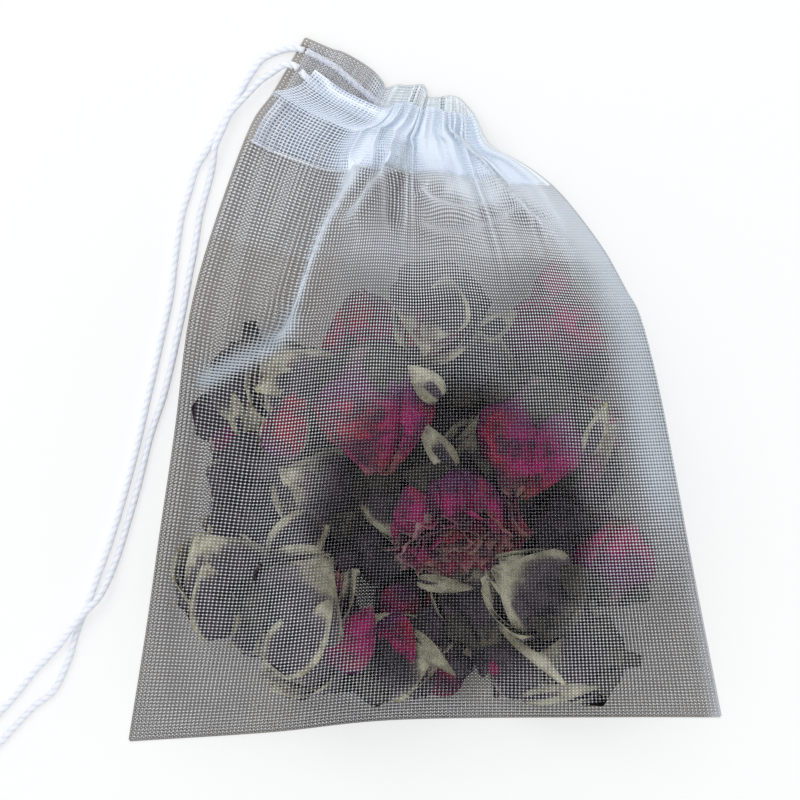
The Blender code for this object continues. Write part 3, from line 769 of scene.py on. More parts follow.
# %% Loose petals
TOP_PETALS = [
    # x and y of the middle in mm, heading, length and width in mm, tilt, roll, shade, where the rim starts
    (-20.0, -23.5, 48, 14.5, 8.8, 6, -6, 0.20, 0.70),
    (-20.0, -40.0, 52, 15.0, 9.6, 4, -4, 0.20, 0.72),
    (-35.0, -35.0, 100, 13.0, 8.4, 4, 8, 0.15, 0.76),
    (-11.5, -41.0, 62, 12.0, 8.0, 4, 6, 0.95, 0.98),
    (3.2, 14.0, 88, 9.5, 8.6, 6, 0, 0.15, 0.78),
    (0.0, 1.2, 135, 7.6, 5.0, 10, 10, 0.20, 0.35),
    (1.6, -9.3, 126, 10.0, 4.4, 14, -14, 0.20, 0.40),
    (3.3, -32.4, 352, 9.5, 3.0, 6, 8, 0.20, 0.20),
    (1.0, -43.8, 317, 10.5, 3.2, 4, 6, 0.20, 0.15),
    (-4.2, -41.5, 300, 9.0, 6.0, 2, 4, 0.95, 0.98),
    (18.0, -43.6, 316, 15.5, 2.8, 4, -6, 0.20, 0.15),
    (23.0, -50.2, 10, 14.0, 3.2, 2, 8, 0.20, 0.30),
    (-3.7, -34.8, 327, 11.0, 1.8, 4, 0, 0.20, 0.25),
    (-8.0, -38.2, 20, 5.8, 2.4, 4, 0, 0.20, 0.15),
    (-24.0, 1.0, 200, 8.0, 5.6, 8, -10, 0.15, 0.45),
    (-22.5, -5.5, 70, 12.0, 8.0, 6, 0, 0.80, 0.98),
    (21.5, 17.5, 76, 11.0, 7.0, 4, 0, 1.00, 1.00),
    (-31.0, -4.0, 100, 7.0, 3.0, 6, 0, 0.15, 0.30),
    (-32.0, -14.0, 100, 13.0, 7.0, 8, 14, 0.15, 0.80),
    (28.3, -6.5, 70, 9.0, 3.6, 4, 8, 0.30, 0.55),
    (12.0, 10.5, 35, 8.0, 4.4, 6, 8, 0.15, 0.60),
]
PILE_OUTLINE = millimetres([
    (-33, -2), (-28, 0), (-22, 2), (-15, 9), (-2, 12), (8, 11), (17, 12), (22, 10), (25, 3), (28, -5),
    (31, -16), (31, -33), (28, -42), (25, -47), (12, -48), (-8, -48), (-25, -47), (-32, -42), (-36, -31),
    (-33, -16),
])
STREWN_PETALS = 300
STREWN_CELLS = 8
STREWN_ACROSS = (-0.042, 0.040)
STREWN_ALONG = (-0.053, 0.023)
STREWN_FLOOR = 0.0030
STREWN_DEPTH = 0.007
STREWN_SHADES = [0.0, 0.0, 0.05, 0.1, 0.15, 0.6]
STREWN_PALENESS = [0.0, 0.0, 0.0, 0.6]
NEAR_SPOTS = (-0.002, 0, 0.002)
TOP_FLOOR = 0.004
TOP_GAP = 0.0004


def in_outline(x, y, outline):
    inside = False
    for (x0, y0), (x1, y1) in zip(outline, np.roll(outline, 1, axis=0)):
        if (y0 > y) != (y1 > y) and x < (x1 - x0) * (y - y0) / (y1 - y0) + x0:
            inside = not inside
    return inside


def loose_petal(x, y, z, heading, long, wide, tilt, roll, shade, seed, cells=12):
    """A pointed petal lying with its hollow side down, cupped along and across."""
    across = np.linspace(-1, 1, cells - 1)[:, None]
    along = np.linspace(0, 1, cells)[None, :]
    outline = np.sin(math.pi * (0.06 + 0.925 * along) ** 0.65) ** 0.85
    side = across * outline * wide / 2
    ahead = (along - 0.5) * long
    cup = -0.42 * (across**2) * outline * wide / 2 - 0.20 * long * (along - 0.45) ** 2 * 2
    cup = cup + 0.05 * wide * crinkle(across * 3, along * 3, seed)
    cup = cup + 0.10 * wide * (np.abs(across) > 0.8) * outline
    points = stacked(ahead, side, cup) / 1000
    turn = Matrix.Rotation(math.radians(heading), 4, "Z") @ Matrix.Rotation(math.radians(-tilt), 4, "Y")
    turn = np.array((turn @ Matrix.Rotation(math.radians(roll), 4, "X")).to_3x3())
    worn = np.random.default_rng(seed).uniform(0.85, 1.05, 2)
    rim = np.maximum(np.where(across < 0, worn[0], worn[1]) * np.abs(across), 1 - (1 - along) * 1.2)
    return points @ turn.T + np.array([x, y, z]), stacked(rim, along + 0.3, shade)


bud_tops = solid_tree(roses)
strewn, top_petals = Shape(), Shape()
pick = np.random.default_rng(11)
while len(strewn.faces) < STREWN_PETALS * (STREWN_CELLS - 1) * (STREWN_CELLS - 2):
    x, y = pick.uniform(*STREWN_ACROSS), pick.uniform(*STREWN_ALONG)
    if in_outline(x, y, PILE_OUTLINE):
        height = STREWN_FLOOR + pick.uniform(0, STREWN_DEPTH)
        points, values = loose_petal(
            x, y, height, pick.uniform(0, 360), pick.uniform(8, 12), pick.uniform(6, 9),
            pick.uniform(-14, 14), pick.uniform(-20, 20), pick.choice(STREWN_SHADES),
            int(x * 1e6) % 1000, STREWN_CELLS,
        )
        strewn.grid(points, values, (0.86, float(pick.choice(STREWN_PALENESS)), pick.uniform()))
for number, (x, y, heading, long, wide, tilt, roll, shade, rim_start) in enumerate(TOP_PETALS):
    x, y = x / 1000, y / 1000
    height = max(top_at(bud_tops, x + dx, y + dy) for dx in NEAR_SPOTS for dy in NEAR_SPOTS)
    height = max(TOP_FLOOR, height + TOP_GAP)
    points, values = loose_petal(x, y, height, heading, long, wide, tilt, roll, shade, 300 + number)
    top_petals.grid(points, values, (rim_start, 1.0, pick.uniform()))
loose_pieces = [strewn.piece("petals_below"), top_petals.piece("petals_on_top")]
for piece in loose_pieces:
    piece.data.transform(Matrix.Translation((0, 0, max(0.0, PETAL_FLOOR - lowest_point(piece)))))
    piece.data.materials.append(dried_petal)
    piece.data.shade_smooth()
print("loose petals:", sum(triangles_of(piece) for piece in loose_pieces), "triangles before thickness")

# %% [markdown]
# ## The cloth's flat pattern
# The bag is cut 100 by 120 mm. A point of the cloth is named by its share across (a, from the left
# seam to the right) and its share along (t, from the bottom to the mouth). The lying bag's outline is
# four curves, and the points between them are blended from those, which is called a Coons patch.

# %% The lying outline
BAG_WIDTH = 0.100
BAG_LENGTH = 0.120
HEM_START = 1 - 0.019 / BAG_LENGTH
MOUTH_CORNER = 0.915

LEFT_EDGE = [
    (-49.2, -58.5), (-46.3, -40.2), (-44.2, -25.2), (-41.5, -6.8), (-39.2, 11.5), (-35.5, 25.7),
    (-29.2, 43.2), (-25.2, 49.3), (-19.9, 58.4),
]
RIGHT_EDGE = [
    (49.2, -54.5), (44.2, -28.5), (39.2, -1.8), (35.8, 11.8), (33.3, 16.5), (30.8, 21.2), (27.8, 25.7),
    (23.3, 31.5), (20.0, 34.8), (15.8, 37.7), (11.7, 39.8), (9.9, 41.7), (9.0, 43.7), (8.2, 45.5),
]
BOTTOM_EDGE = [(-49.2, -58.5), (-25.8, -57.0), (-4.2, -54.9), (30.8, -54.5), (49.2, -54.5)]
FRONT_MOUTH = [
    (0.0, -18.3, 52.9), (0.05, -14.5, 50.2), (0.1, -10.8, 48.2), (0.15, -6.8, 46.6), (0.25, -4.5, 47.4),
    (0.35, -2.2, 47.5), (0.45, -0.5, 46.4), (0.55, 1.5, 46.8), (0.65, 3.5, 45.9), (0.75, 5.2, 46.0),
    (0.87, 6.8, 45.2), (1.0, 8.2, 45.5),
]
BACK_MOUTH = [
    (0.0, -19.9, 58.4), (0.04, -15.8, 56.6), (0.065, -13.3, 55.8), (0.11, -9.2, 53.3), (0.15, -7.2, 51.2),
    (0.18, -6.6, 50.0), (0.22, -4.6, 50.5), (0.28, -2.5, 50.4), (0.36, -0.3, 50.5), (0.42, 0.4, 48.6),
    (0.52, 2.0, 48.4), (0.62, 4.2, 48.7), (0.72, 5.8, 48.2), (0.84, 7.0, 46.9), (1.0, 8.2, 45.5),
]


def edge_at(edge, shares):
    return at_shares(smooth_line(millimetres(edge)), shares)


def mouth_line(mouth, shares):
    """x and y of the mouth, whose rows give the share across and then x and y in mm."""
    line = smooth_line(mouth, 10)
    order = np.maximum.accumulate(line[:, 0])
    return np.column_stack([np.interp(shares, order, line[:, axis]) for axis in (1, 2)]) / 1000


def lying_grid(mouth, across, along, opened):
    """x and y at every pair of shares, [a, t]. Opened, the left edge runs on to the front mouth's corner."""
    left, right, bottom = edge_at(LEFT_EDGE, along), edge_at(RIGHT_EDGE, along), edge_at(BOTTOM_EDGE, across)
    if opened:
        free = along > MOUTH_CORNER
        seam_end = edge_at(LEFT_EDGE, [MOUTH_CORNER])[0]
        share = ((along[free] - MOUTH_CORNER) / (1 - MOUTH_CORNER))[:, None]
        bulge = np.array([0.0006, -0.0009]) * np.sin(math.pi * share)
        left[free] = seam_end + (mouth_line(mouth, [0.0])[0] - seam_end) * share + bulge
    low_left, low_right = millimetres(LEFT_EDGE[0]), millimetres(RIGHT_EDGE[0])
    top_left, top_right = mouth_line(mouth, [0.0, 1.0])
    top = mouth_line(mouth, across)
    a, t = across[:, None, None], along[None, :, None]
    plain = (1 - a) * ((1 - t) * low_left + t * top_left) + a * ((1 - t) * low_right + t * top_right)
    sides = (1 - a) * left[None] + a * right[None]
    ends = (1 - t) * bottom[:, None] + t * top[:, None]
    return sides + ends - plain


# %% [markdown]
# ## How the front panel drapes
# The panel is a stretched skin over the buds. It starts flat between its seams. Each point then moves
# to the average of its four neighbours, again and again, but never below the petals under it, nor far
# below the solid bag's front. It settles like cloth pulled lightly over a pile.

# %% Drape over the buds
BACK_LEVEL = 0.00022
FRONT_LEVEL = 0.0047
FLAP_SEAT = 0.0006
CLEARANCE = 0.0007
ACROSS = 97
ALONG = 121
SPREAD = 3
STEEPEST = 1.7
TAUT_GAP = 0.0022
RELAX_ROUNDS = 1500


def tops_under(points):
    tree = solid_tree([*roses, *loose_pieces])
    tops = np.zeros(points.shape[:2])
    for place in np.ndindex(tops.shape):
        tops[place] = top_at(tree, *points[place])
    spread = tops.copy()
    for shift_a, shift_t in np.ndindex(2 * SPREAD + 1, 2 * SPREAD + 1):
        if (shift_a - SPREAD) ** 2 + (shift_t - SPREAD) ** 2 <= SPREAD**2:
            spread = np.maximum(spread, np.roll(tops, (shift_a - SPREAD, shift_t - SPREAD), (0, 1)))
    return tops, spread


def taut_cover(points):
    """Height of the solid bag's front at each point, smoothed over its coarse faces and open cells."""
    tree = solid_tree([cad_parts["mesh_bag"]])
    cover = np.zeros(points.shape[:2])
    for place in np.ndindex(cover.shape):
        cover[place] = top_at(tree, *points[place])
    for shift in (1, 2, 2):
        for axis in (0, 1):
            cover = np.maximum(cover, np.maximum(np.roll(cover, shift, axis), np.roll(cover, -shift, axis)))
    for _ in range(12):
        for axis in (0, 1):
            cover = (np.roll(cover, 2, axis) + cover + np.roll(cover, -2, axis)) / 3
    return cover


def hem_level(across, opened):
    """Height of the front casing's outer ply: seams low, the middle over both strings."""
    left = np.where(opened, 1.0, ease(0.0, 0.07, across))
    return BACK_LEVEL + (FRONT_LEVEL - BACK_LEVEL) * left * ease(0.0, 0.05, 1 - across)


def draped():
    across, along = np.linspace(0, 1, ACROSS), np.linspace(0, 1, ALONG)
    points = lying_grid(FRONT_MOUTH, across, along, True)
    a, t = np.meshgrid(across, along, indexing="ij")
    heights = np.full(a.shape, BACK_LEVEL)
    casing = t >= HEM_START
    heights[casing] = hem_level(a, t > MOUTH_CORNER)[casing]
    tops, wide_tops = tops_under(points)
    from_edge = np.minimum(t * BAG_LENGTH, np.minimum(a, 1 - a) * 0.8 * BAG_WIDTH)
    held_up = np.maximum(tops, np.minimum(wide_tops, STEEPEST * from_edge))
    floor = np.where(held_up > 0, held_up + CLEARANCE, BACK_LEVEL + FLAP_SEAT)
    floor = np.maximum(floor, np.minimum(taut_cover(points), STEEPEST * from_edge) - TAUT_GAP)
    inside = (~casing) & (a > 0) & (a < 1) & (t > 0)
    for _ in range(RELAX_ROUNDS):
        level = heights.copy()
        beside = heights[:-2, 1:-1] + heights[2:, 1:-1]
        level[1:-1, 1:-1] = (beside + heights[1:-1, :-2] + heights[1:-1, 2:]) / 4
        heights = np.where(inside, np.maximum(level, floor), heights)
    return heights


drape_heights = draped()
print("the panel's highest point:", round(float(drape_heights.max()) * 1000, 1), "mm")


def drape_at(a, t):
    """The draped height at shares a and t, read between the grid's points."""
    u, v = a * (ACROSS - 1), t * (ALONG - 1)
    i, j = np.clip(u.astype(int), 0, ACROSS - 2), np.clip(v.astype(int), 0, ALONG - 2)
    fu, fv = u - i, v - j
    low = drape_heights[i, j] * (1 - fu) + drape_heights[i + 1, j] * fu
    high = drape_heights[i, j + 1] * (1 - fu) + drape_heights[i + 1, j + 1] * fu
    return low * (1 - fv) + high * fv


# %% [markdown]
# ## Folds
# The string draws 80 mm of cloth into 15 mm. The cloth takes that up in pleats: seen from above each one
# runs forward, doubles back under itself and runs on. So every fold moves the cloth both ways, sideways
# by a wave and up by the same wave a quarter turn later. A long single fold does this once, along a line.

# %% Pleats and folds
PLEATS = 15
PLEAT_HEIGHT = 0.0012
FOLDS = [
    # route in mm, width in mm, draw in mm, height in mm
    ([(-11.5, 38.8), (-12.9, 34.3), (-17, 26.4), (-20.3, 17), (-22.8, 10.3), (-25.5, 7.5)], 1.3, 1.0, 1.3),
    ([(-21.0, 14.5), (-22.8, 10.3), (-26.7, 6.8), (-31.5, 4.2), (-36.2, 1.7), (-42.0, 0.0)], 2.8, 0.3, 1.3),
    ([(-3.2, 41.8), (-3.8, 38.0), (-4.5, 34.7), (-5.0, 29.5), (-4.8, 24.8)], 0.9, -0.5, -1.2),
    ([(-5.0, 39.8), (-9.2, 33.5), (-14.2, 26.5)], 1.3, 0.9, 0.8),
    ([(3.5, 43.7), (7.5, 39.8), (12.0, 35.2), (17.5, 29.0), (22.8, 25.8)], 1.0, 1.0, 0.8),
    ([(-1.0, 33.5), (2.0, 31.2), (7.0, 30.2), (12.0, 31.6)], 1.0, 0.6, 0.4),
    ([(-2.0, 27.5), (5.0, 26.0), (12.0, 28.0), (17.0, 31.5)], 1.2, 0.5, 0.4),
]


def fold_shift(points, route, width, draw, height):
    """How one long fold moves points in the plane and up."""
    line = smooth_line(millimetres(route), 8)
    flat = points.reshape(-1, 2)
    gaps = flat[:, None] - line[None]
    nearest = np.argmin((gaps**2).sum(-1), axis=1)
    away = gaps[np.arange(len(flat)), nearest]
    ahead = np.gradient(line, axis=0)
    ahead /= np.linalg.norm(ahead, axis=1)[:, None]
    side = np.column_stack([-ahead[:, 1], ahead[:, 0]])[nearest]
    along = nearest / (len(line) - 1)
    distance = (away * side).sum(-1) / (width / 1000)
    past = np.abs((away * ahead[nearest]).sum(-1)) / (width / 1000)
    strength = np.exp(-(past**2)) * ease(0.0, 0.12, along) * ease(0.0, 0.25, 1 - along)
    wave = -distance * np.exp((1 - distance**2) / 2) * strength * draw / 1000
    rise = np.exp(-(distance**2) / 2) * strength * height / 1000
    return (side * wave[:, None]).reshape(points.shape), rise.reshape(points.shape[:2])


def slow_wave(share, seed, size=1.0):
    pick = np.random.default_rng(seed)
    total = np.zeros_like(share)
    for rate in (3, 5, 8, 13):
        total += np.sin(rate * share * 2 * math.pi * size + pick.uniform(0, 6.28)) / rate
    return total


def pleated(points, a, t, seed, start):
    """Sideways and upward moves of the pleats, which grow towards the string."""
    phase = 2 * math.pi * (PLEATS * a + 1.1 * slow_wave(a, seed))
    uneven = 0.75 + 0.45 * slow_wave(a, seed + 1, 2.0)
    begin = start + 0.16 * slow_wave(a, seed + 2, 1.5)
    growth = np.clip((t - begin) / (0.94 - begin), 0, 1) ** 1.7
    growth = growth * ease(0.15, 0.24, a) * ease(0.0, 0.05, 1 - a)
    across = np.gradient(points, axis=0)
    length = np.linalg.norm(across, axis=-1)[..., None]
    across = across / np.maximum(length, 1e-9)
    sideways = -0.00034 * np.sin(phase) * uneven * growth
    return across * sideways[..., None], PLEAT_HEIGHT * np.cos(phase) * uneven * growth


# %% [markdown]
# ## The four layers of cloth
# The front panel and the back panel each fold over at the mouth, and the folded-down ply makes the
# casing for the string. A layer's shape is the outline grid, the drape and the folds added together.

# %% Layer shapes
BACK_FLAP = 0.00215
FRONT_FLAP = 0.00275
WARP_THREADS = 154
WEFT_THREADS = 206
MOUTH_RIM = 0.0012
GATHER_MIDDLE = (0.0015, 0.0435)
GATHER_REACH = 0.011
GATHER_HEIGHT = 0.0016


def gather_lift(points):
    """The bundle of pleats round the string is thick, so the layers stand up there."""
    away = ((points - np.array(GATHER_MIDDLE)) ** 2).sum(-1) / GATHER_REACH**2
    return GATHER_HEIGHT * np.exp(-away)


def at_mouth(heights, cord_height, t):
    """Lets the last bit of a layer end at the height of the string."""
    rim = ease(1 - MOUTH_RIM / BAG_LENGTH, 1.0, t)
    return heights * (1 - rim) + cord_height * rim


def front_layer(a, t):
    points = lying_grid(FRONT_MOUTH, a[:, 0], t[0], True)
    heights = at_mouth(drape_at(a, t), FRONT_CORD, t)
    shift, rise = pleated(points, a, t, 5, 0.60)
    heights = heights + rise * ease(0.0, 0.0012, heights) + gather_lift(points) * 1.5
    heights = heights + PLEAT_HEIGHT * ease(0.12, 0.26, a) * ease(0.0, 0.08, 1 - a) * ease(0.58, 0.88, t)
    moved = points + shift
    for route, width, draw, height in FOLDS:
        shift, rise = fold_shift(points, route, width, draw, height)
        moved, heights = moved + shift, heights + rise
    return np.dstack([moved, heights])


def back_layer(a, t):
    points = lying_grid(BACK_MOUTH, a[:, 0], t[0], False)
    shift, rise = pleated(points, a, t, 9, 0.66)
    heights = BACK_LEVEL + gather_lift(points) * 0.4 + (rise + PLEAT_HEIGHT) * 0.25 * ease(0.6, 0.9, t)
    return np.dstack([points + shift, at_mouth(heights, BACK_CORD, t)])


def flap_layer(a, t, mouth, opened, level, seat, seed):
    points = lying_grid(mouth, a[:, 0], t[0], opened)
    slack = np.clip(2 * (t - HEM_START) / (1 - HEM_START), 0, 1)
    heights = level * slack + seat * (1 - slack)
    shift, rise = pleated(points, a, t, seed, 0.62)
    heights = heights + rise * 0.5 + gather_lift(points)
    return np.dstack([points + shift, at_mouth(heights, FRONT_CORD if opened else BACK_CORD, t)])


# %% [markdown]
# ## Weaving the mesh
# A thread is a curve with a tiny section of three or four sides. One Geometry Nodes tree weaves any
# layer: it gets a net of points whose edges are marked as running along the bag or across it, turns each
# run of edges into a curve, spaces the curve's points evenly, and sweeps the section along it. The net's
# `swell` makes a thread thicker where it is more than 1.

# %% The weaving tree
def new_group(name, result, *inputs):
    """A Geometry Nodes group whose inputs are given as (name, kind, value)."""
    group = bpy.data.node_groups.new(name, "GeometryNodeTree")
    for label, kind, value in inputs:
        socket = group.interface.new_socket(label, in_out="INPUT", socket_type=f"NodeSocket{kind}")
        if value is not None:
            socket.default_value = value
    group.interface.new_socket(result, in_out="OUTPUT", socket_type="NodeSocketGeometry")
    return Graph(group)


def weaving_tree():
    weave = new_group(
        "weave_threads", "Cloth", ("Net", "Geometry", None), ("Thread Radius", "Float", 0.00008),
        ("Points Along", "Int", 60), ("Points Across", "Int", 80), ("Sides", "Int", 3),
        ("Flatness", "Vector", (1.0, 1.0, 1.0)), ("Finish", "Material", None),
    )
    circle = {"Resolution": weave.given("Sides"), "Radius": weave.given("Thread Radius")}
    section = weave.add("GeometryNodeCurvePrimitiveCircle", {}, **circle)
    flat = weave.add("GeometryNodeTransform", {}, Geometry=section, Scale=weave.given("Flatness"))
    join = weave.add("GeometryNodeJoinGeometry", {})
    attribute = "GeometryNodeInputNamedAttribute"
    for mark, count in (("runs_along", "Points Along"), ("runs_across", "Points Across")):
        marked = weave.add(attribute, {"data_type": "BOOLEAN"}, Name=mark, output="Attribute")
        curve = weave.add("GeometryNodeMeshToCurve", {}, Mesh=weave.given("Net"), Selection=marked)
        even = weave.add("GeometryNodeResampleCurve", {}, Curve=curve, Count=weave.given(count))
        upright = weave.add("GeometryNodeSetCurveNormal", {"mode": "Z_UP"}, Curve=even)
        swell = weave.add(attribute, {"data_type": "FLOAT"}, Name="swell", output="Attribute")
        sweep = {"Curve": upright, "Profile_Curve": flat, "Scale": swell, "Fill_Caps": True}
        thread = weave.add("GeometryNodeCurveToMesh", {}, **sweep)
        weave.feed(join.socket.node.inputs[0], thread)
    return weave.hand_over(join)


weave_tree = weaving_tree()


def run_tree(piece, tree, **values):
    """Puts the tree on the piece, keeps its result as a plain mesh on the table and takes the tree off."""
    modifier = piece.modifiers.new(tree.name, "NODES")
    modifier.node_group = tree
    inputs = {item.name: item.identifier for item in tree.interface.items_tree if item.in_out == "INPUT"}
    for name, value in values.items():
        modifier[inputs[name.replace("_", " ")]] = value
    bpy.context.view_layer.update()
    graph = bpy.context.evaluated_depsgraph_get()
    result = bpy.data.meshes.new_from_object(piece.evaluated_get(graph), depsgraph=graph)
    for vertex in result.vertices:
        vertex.co.z = max(vertex.co.z, 0)
    piece.modifiers.remove(modifier)
    old, piece.data = piece.data, result
    result.name = piece.name
    bpy.data.meshes.remove(old)
    return piece


# %% [markdown]
# Thin nylon shines where it bends. Where a fold turns the cloth away from the camera the threads lie
# close together and look like a pale band, and inside a groove lies shade. The strokes below mark those
# bands on the cloth: the pale ones get a painted sheen and the grooves painted shade. The weave stores
# them at every crossing for the material, and the threads swell where a band is bright, which closes the
# gaps between them.

# %% Sheen along the folds
BRIGHT_BANDS = [
    # route in mm, width in mm, strength
    ([(-11.5, 38.8), (-12.9, 34.3), (-17.0, 26.4), (-20.3, 17.0), (-22.8, 10.3)], 0.85, 0.85),
    ([(-21.5, 14.0), (-22.8, 10.3), (-26.7, 6.8), (-31.5, 4.2), (-36.2, 1.7), (-38.5, 1.0)], 1.7, 1.0),
    ([(-21.4, 54.4), (-18.3, 53.0), (-16.7, 51.6), (-14.7, 49.2), (-9.2, 46.6), (-3.3, 43.6)], 0.7, 1.0),
    ([(-7.5, 42.0), (-11.0, 37.5), (-14.0, 33.0)], 1.6, 0.7),
    ([(-1.0, 42.0), (1.5, 39.0), (4.5, 36.0)], 2.0, 0.55),
    ([(2.0, 42.0), (6.0, 38.0), (11.0, 33.5)], 2.6, 0.60),
    ([(-5.5, 42.5), (-1.0, 42.5), (4.0, 41.0)], 2.0, 0.50),
    ([(3.0, 34.2), (8.0, 32.6), (12.5, 31.6)], 1.5, 0.6),
    ([(7.0, 34.5), (13.0, 33.0), (19.0, 31.5), (26.0, 27.5)], 3.0, 0.45),
    ([(8.5, 42.0), (14.0, 36.5), (20.0, 31.5), (25.0, 27.0)], 2.4, 0.40),
    ([(21, 32), (27, 25.5), (31.5, 18), (35, 8), (37, -4), (39.5, -16), (42.5, -32)], 4.8, 0.80),
    ([(-14.0, 25.0), (-5.0, 21.5), (5.0, 20.5), (15.0, 23.5)], 4.2, 0.20),
    ([(-4.0, 35.0), (7.0, 29.0), (20.0, 21.0)], 5.0, 0.20),
    ([(-5.0, 39.8), (-9.2, 33.5), (-14.2, 26.5)], 0.8, 0.4),
]
GROOVE_SHADE_BANDS = [
    ([(-21.5, 14.0), (-23.3, 11.0), (-27.2, 7.0), (-31.5, 4.2), (-36.2, 1.7), (-39.0, 0.5)], 1.7, 0.58),
    ([(-3.1, 41.4), (-3.9, 36.5), (-4.5, 31.5)], 0.45, 0.8),
    ([(3.6, 43.6), (7.6, 39.8), (12.0, 35.2), (16.6, 29.8)], 0.30, 0.7),
    ([(-9.0, 35.5), (-7.0, 31.0), (-6.5, 26.0)], 1.6, 0.35),
]

SWELL = 1.9


def band_strength(points, bands):
    """How strongly the bands cover each point, from 0 to 1."""
    flat = points.reshape(-1, 2)
    left_over = np.ones(len(flat))
    for route, width, strength in bands:
        line = smooth_line(millimetres(route), 6)
        gaps = ((flat[:, None] - line[None]) ** 2).sum(-1)
        nearest = gaps.argmin(axis=1)
        along = nearest / (len(line) - 1)
        ends = ease(-0.05, 0.15, along) * ease(-0.05, 0.2, 1 - along)
        left_over *= 1 - strength * ends * np.exp(-gaps.min(axis=1) / (width / 1000) ** 2)
    return (1 - left_over).reshape(points.shape[:2])


def glint(points):
    """How much the threads catch the light: least over the middle of the pile, more towards the edges."""
    x, y = points[..., 0] * 1000, points[..., 1] * 1000
    calm = 1 - ease(0.72, 1.15, np.hypot((x - 4) / 26, (y + 24) / 29))
    patches = np.sin(0.31 * x + 0.2 * y) * np.sin(0.17 * x - 0.37 * y + 1.0)
    patches = patches + np.sin(0.55 * x + 2) * np.sin(0.48 * y)
    return np.clip(0.90 - 0.80 * calm + 0.12 * patches * (1 - 0.8 * calm), 0.08, 1.0)


# %% [markdown]
# The net below has one point for each crossing of threads. Its attribute `crossing` counts the threads
# both ways, so the material can tell a crossing from the stretch between two. Front threads are round,
# and back threads are flat ribbons that lie on the table.

# %% A woven layer
ROUND = (3, (1.0, 1.0, 1.0))
RIBBON = (4, (1.0, 0.35, 1.0))


def woven(name, layer, rows, columns, radius, finish, thread_points, banded=False, profile=ROUND):
    first_row, last_row = rows
    sides, flatness = profile
    a = np.arange(columns[0], columns[1] + 1) / (WARP_THREADS - 1)
    t = np.arange(first_row, last_row + 1) / WEFT_THREADS
    grid_a, grid_t = np.meshgrid(a, t, indexing="ij")
    points = layer(grid_a, grid_t)
    wide, tall = grid_a.shape
    spots = np.arange(wide * tall).reshape(wide, tall)
    along = stacked(spots[:, :-1].ravel(), spots[:, 1:].ravel())
    first = 1 if first_row == TURN_ROW else 0
    across = stacked(spots[:-1, first:].ravel(), spots[1:, first:].ravel())
    edges = np.vstack([along, across])
    net = new_piece(name, points.reshape(-1, 3), edges=edges)
    marks = np.zeros(len(edges), bool)
    marks[:len(along)] = True
    add_attribute(net.data, "runs_along", marks, "BOOLEAN", "EDGE")
    add_attribute(net.data, "runs_across", ~marks, "BOOLEAN", "EDGE")
    count = stacked(grid_a * (WARP_THREADS - 1), grid_t * WEFT_THREADS, grid_t)
    add_attribute(net.data, "crossing", count.reshape(-1, 3))
    flat = points[..., :2]
    bright, groove_shade = (band_strength(flat, bands if banded else []) for bands in (BRIGHT_BANDS, GROOVE_SHADE_BANDS))
    add_attribute(net.data, "sheen", stacked(bright, groove_shade, glint(flat)).reshape(-1, 3))
    add_attribute(net.data, "swell", 1 + SWELL * bright, "FLOAT")
    return run_tree(
        net, weave_tree, Thread_Radius=radius, Points_Along=thread_points[0], Points_Across=thread_points[1],
        Sides=sides, Flatness=flatness, Finish=finish,
    )


# %% [markdown]
# The front cloth is clear nylon. The knuckles at its crossings get a painted glint, its threads painted light
# and shade, and its folds painted sheen and painted shade. The back cloth is solid, and its grey-brown is
# painted shade, since it lies in the shade of the front. Above the hem line all plies are painted whiter and
# given a painted glow, for the light through the two plies lying on each other there, and whitest in the
# frills at the left end of the mouth.

# %% Nylon finishes
FRILL_END = (-0.011, -0.004)


def front_finish():
    nylon = Nodes("nylon_front")
    warp, weft, along = nylon.attribute("crossing")
    bright, groove_shade, shine = nylon.attribute("sheen")
    cosine = {"operation": "COSINE"}
    waves = [nylon.add("ShaderNodeMath", cosine, way * (2 * math.pi)) for way in (warp, weft)]
    beat_a, beat_t = (wave * 0.5 + 0.5 for wave in waves)
    # The knuckles at the crossings get a painted glint.
    knuckle_glint = nylon.step(0.30, 0.85, beat_a * beat_t)
    hem = nylon.step(HEM_START - 0.004, HEM_START + 0.006, along)
    upper = nylon.step(0.48, 0.86, along)
    # lit paints light and shade on the threads: darker over the middle of the pile, lighter towards its edges
    # and the mouth.
    lit = nylon.step(0.10, 0.60, shine + upper)
    thread = nylon.mix(lit, (0.12, 0.12, 0.13), (0.66, 0.67, 0.70))
    colour = nylon.mix(knuckle_glint, thread, nylon.mix(lit, (0.34, 0.34, 0.36), (0.93, 0.94, 0.96)))
    # Painted sheen on the bright fold bands. Above the hem line the threads are painted whiter for the light
    # through the stacked plies, whitest where a bright band crosses it.
    colour = nylon.mix(bright * 0.85, colour, (0.60, 0.66, 0.73))
    colour = nylon.mix(hem * 0.85, colour, (0.76, 0.83, 0.93))
    colour = nylon.mix(hem * nylon.step(0.6, 1.0, bright), colour, (0.95, 0.97, 1.0))
    # Painted shade inside the grooves.
    colour = nylon.mix(groove_shade, colour, (0.22, 0.23, 0.25))
    plain = 0.12 + 0.04 * shine + 0.34 * upper + 0.20 * hem
    covered = plain + (0.10 + 0.66 * shine) * knuckle_glint
    covered = covered + bright * 0.75 + groove_shade * 0.4
    nylon.set(Base_Color=colour, Roughness=0.35)
    nylon.set(Alpha=nylon.add("ShaderNodeMath", {"operation": "MINIMUM"}, covered, 1.0))
    # The glow is painted light, for the light passing through the stacked plies above the hem, along the
    # bright fold bands and in the upper cloth.
    glow = hem * 0.7 + bright * 0.6 + upper * 0.2
    nylon.set(Emission_Color=nylon.mix(glow, (0.0, 0.0, 0.0), (0.60, 0.68, 0.78)))
    nylon.set(Emission_Strength=0.22)
    return nylon.material


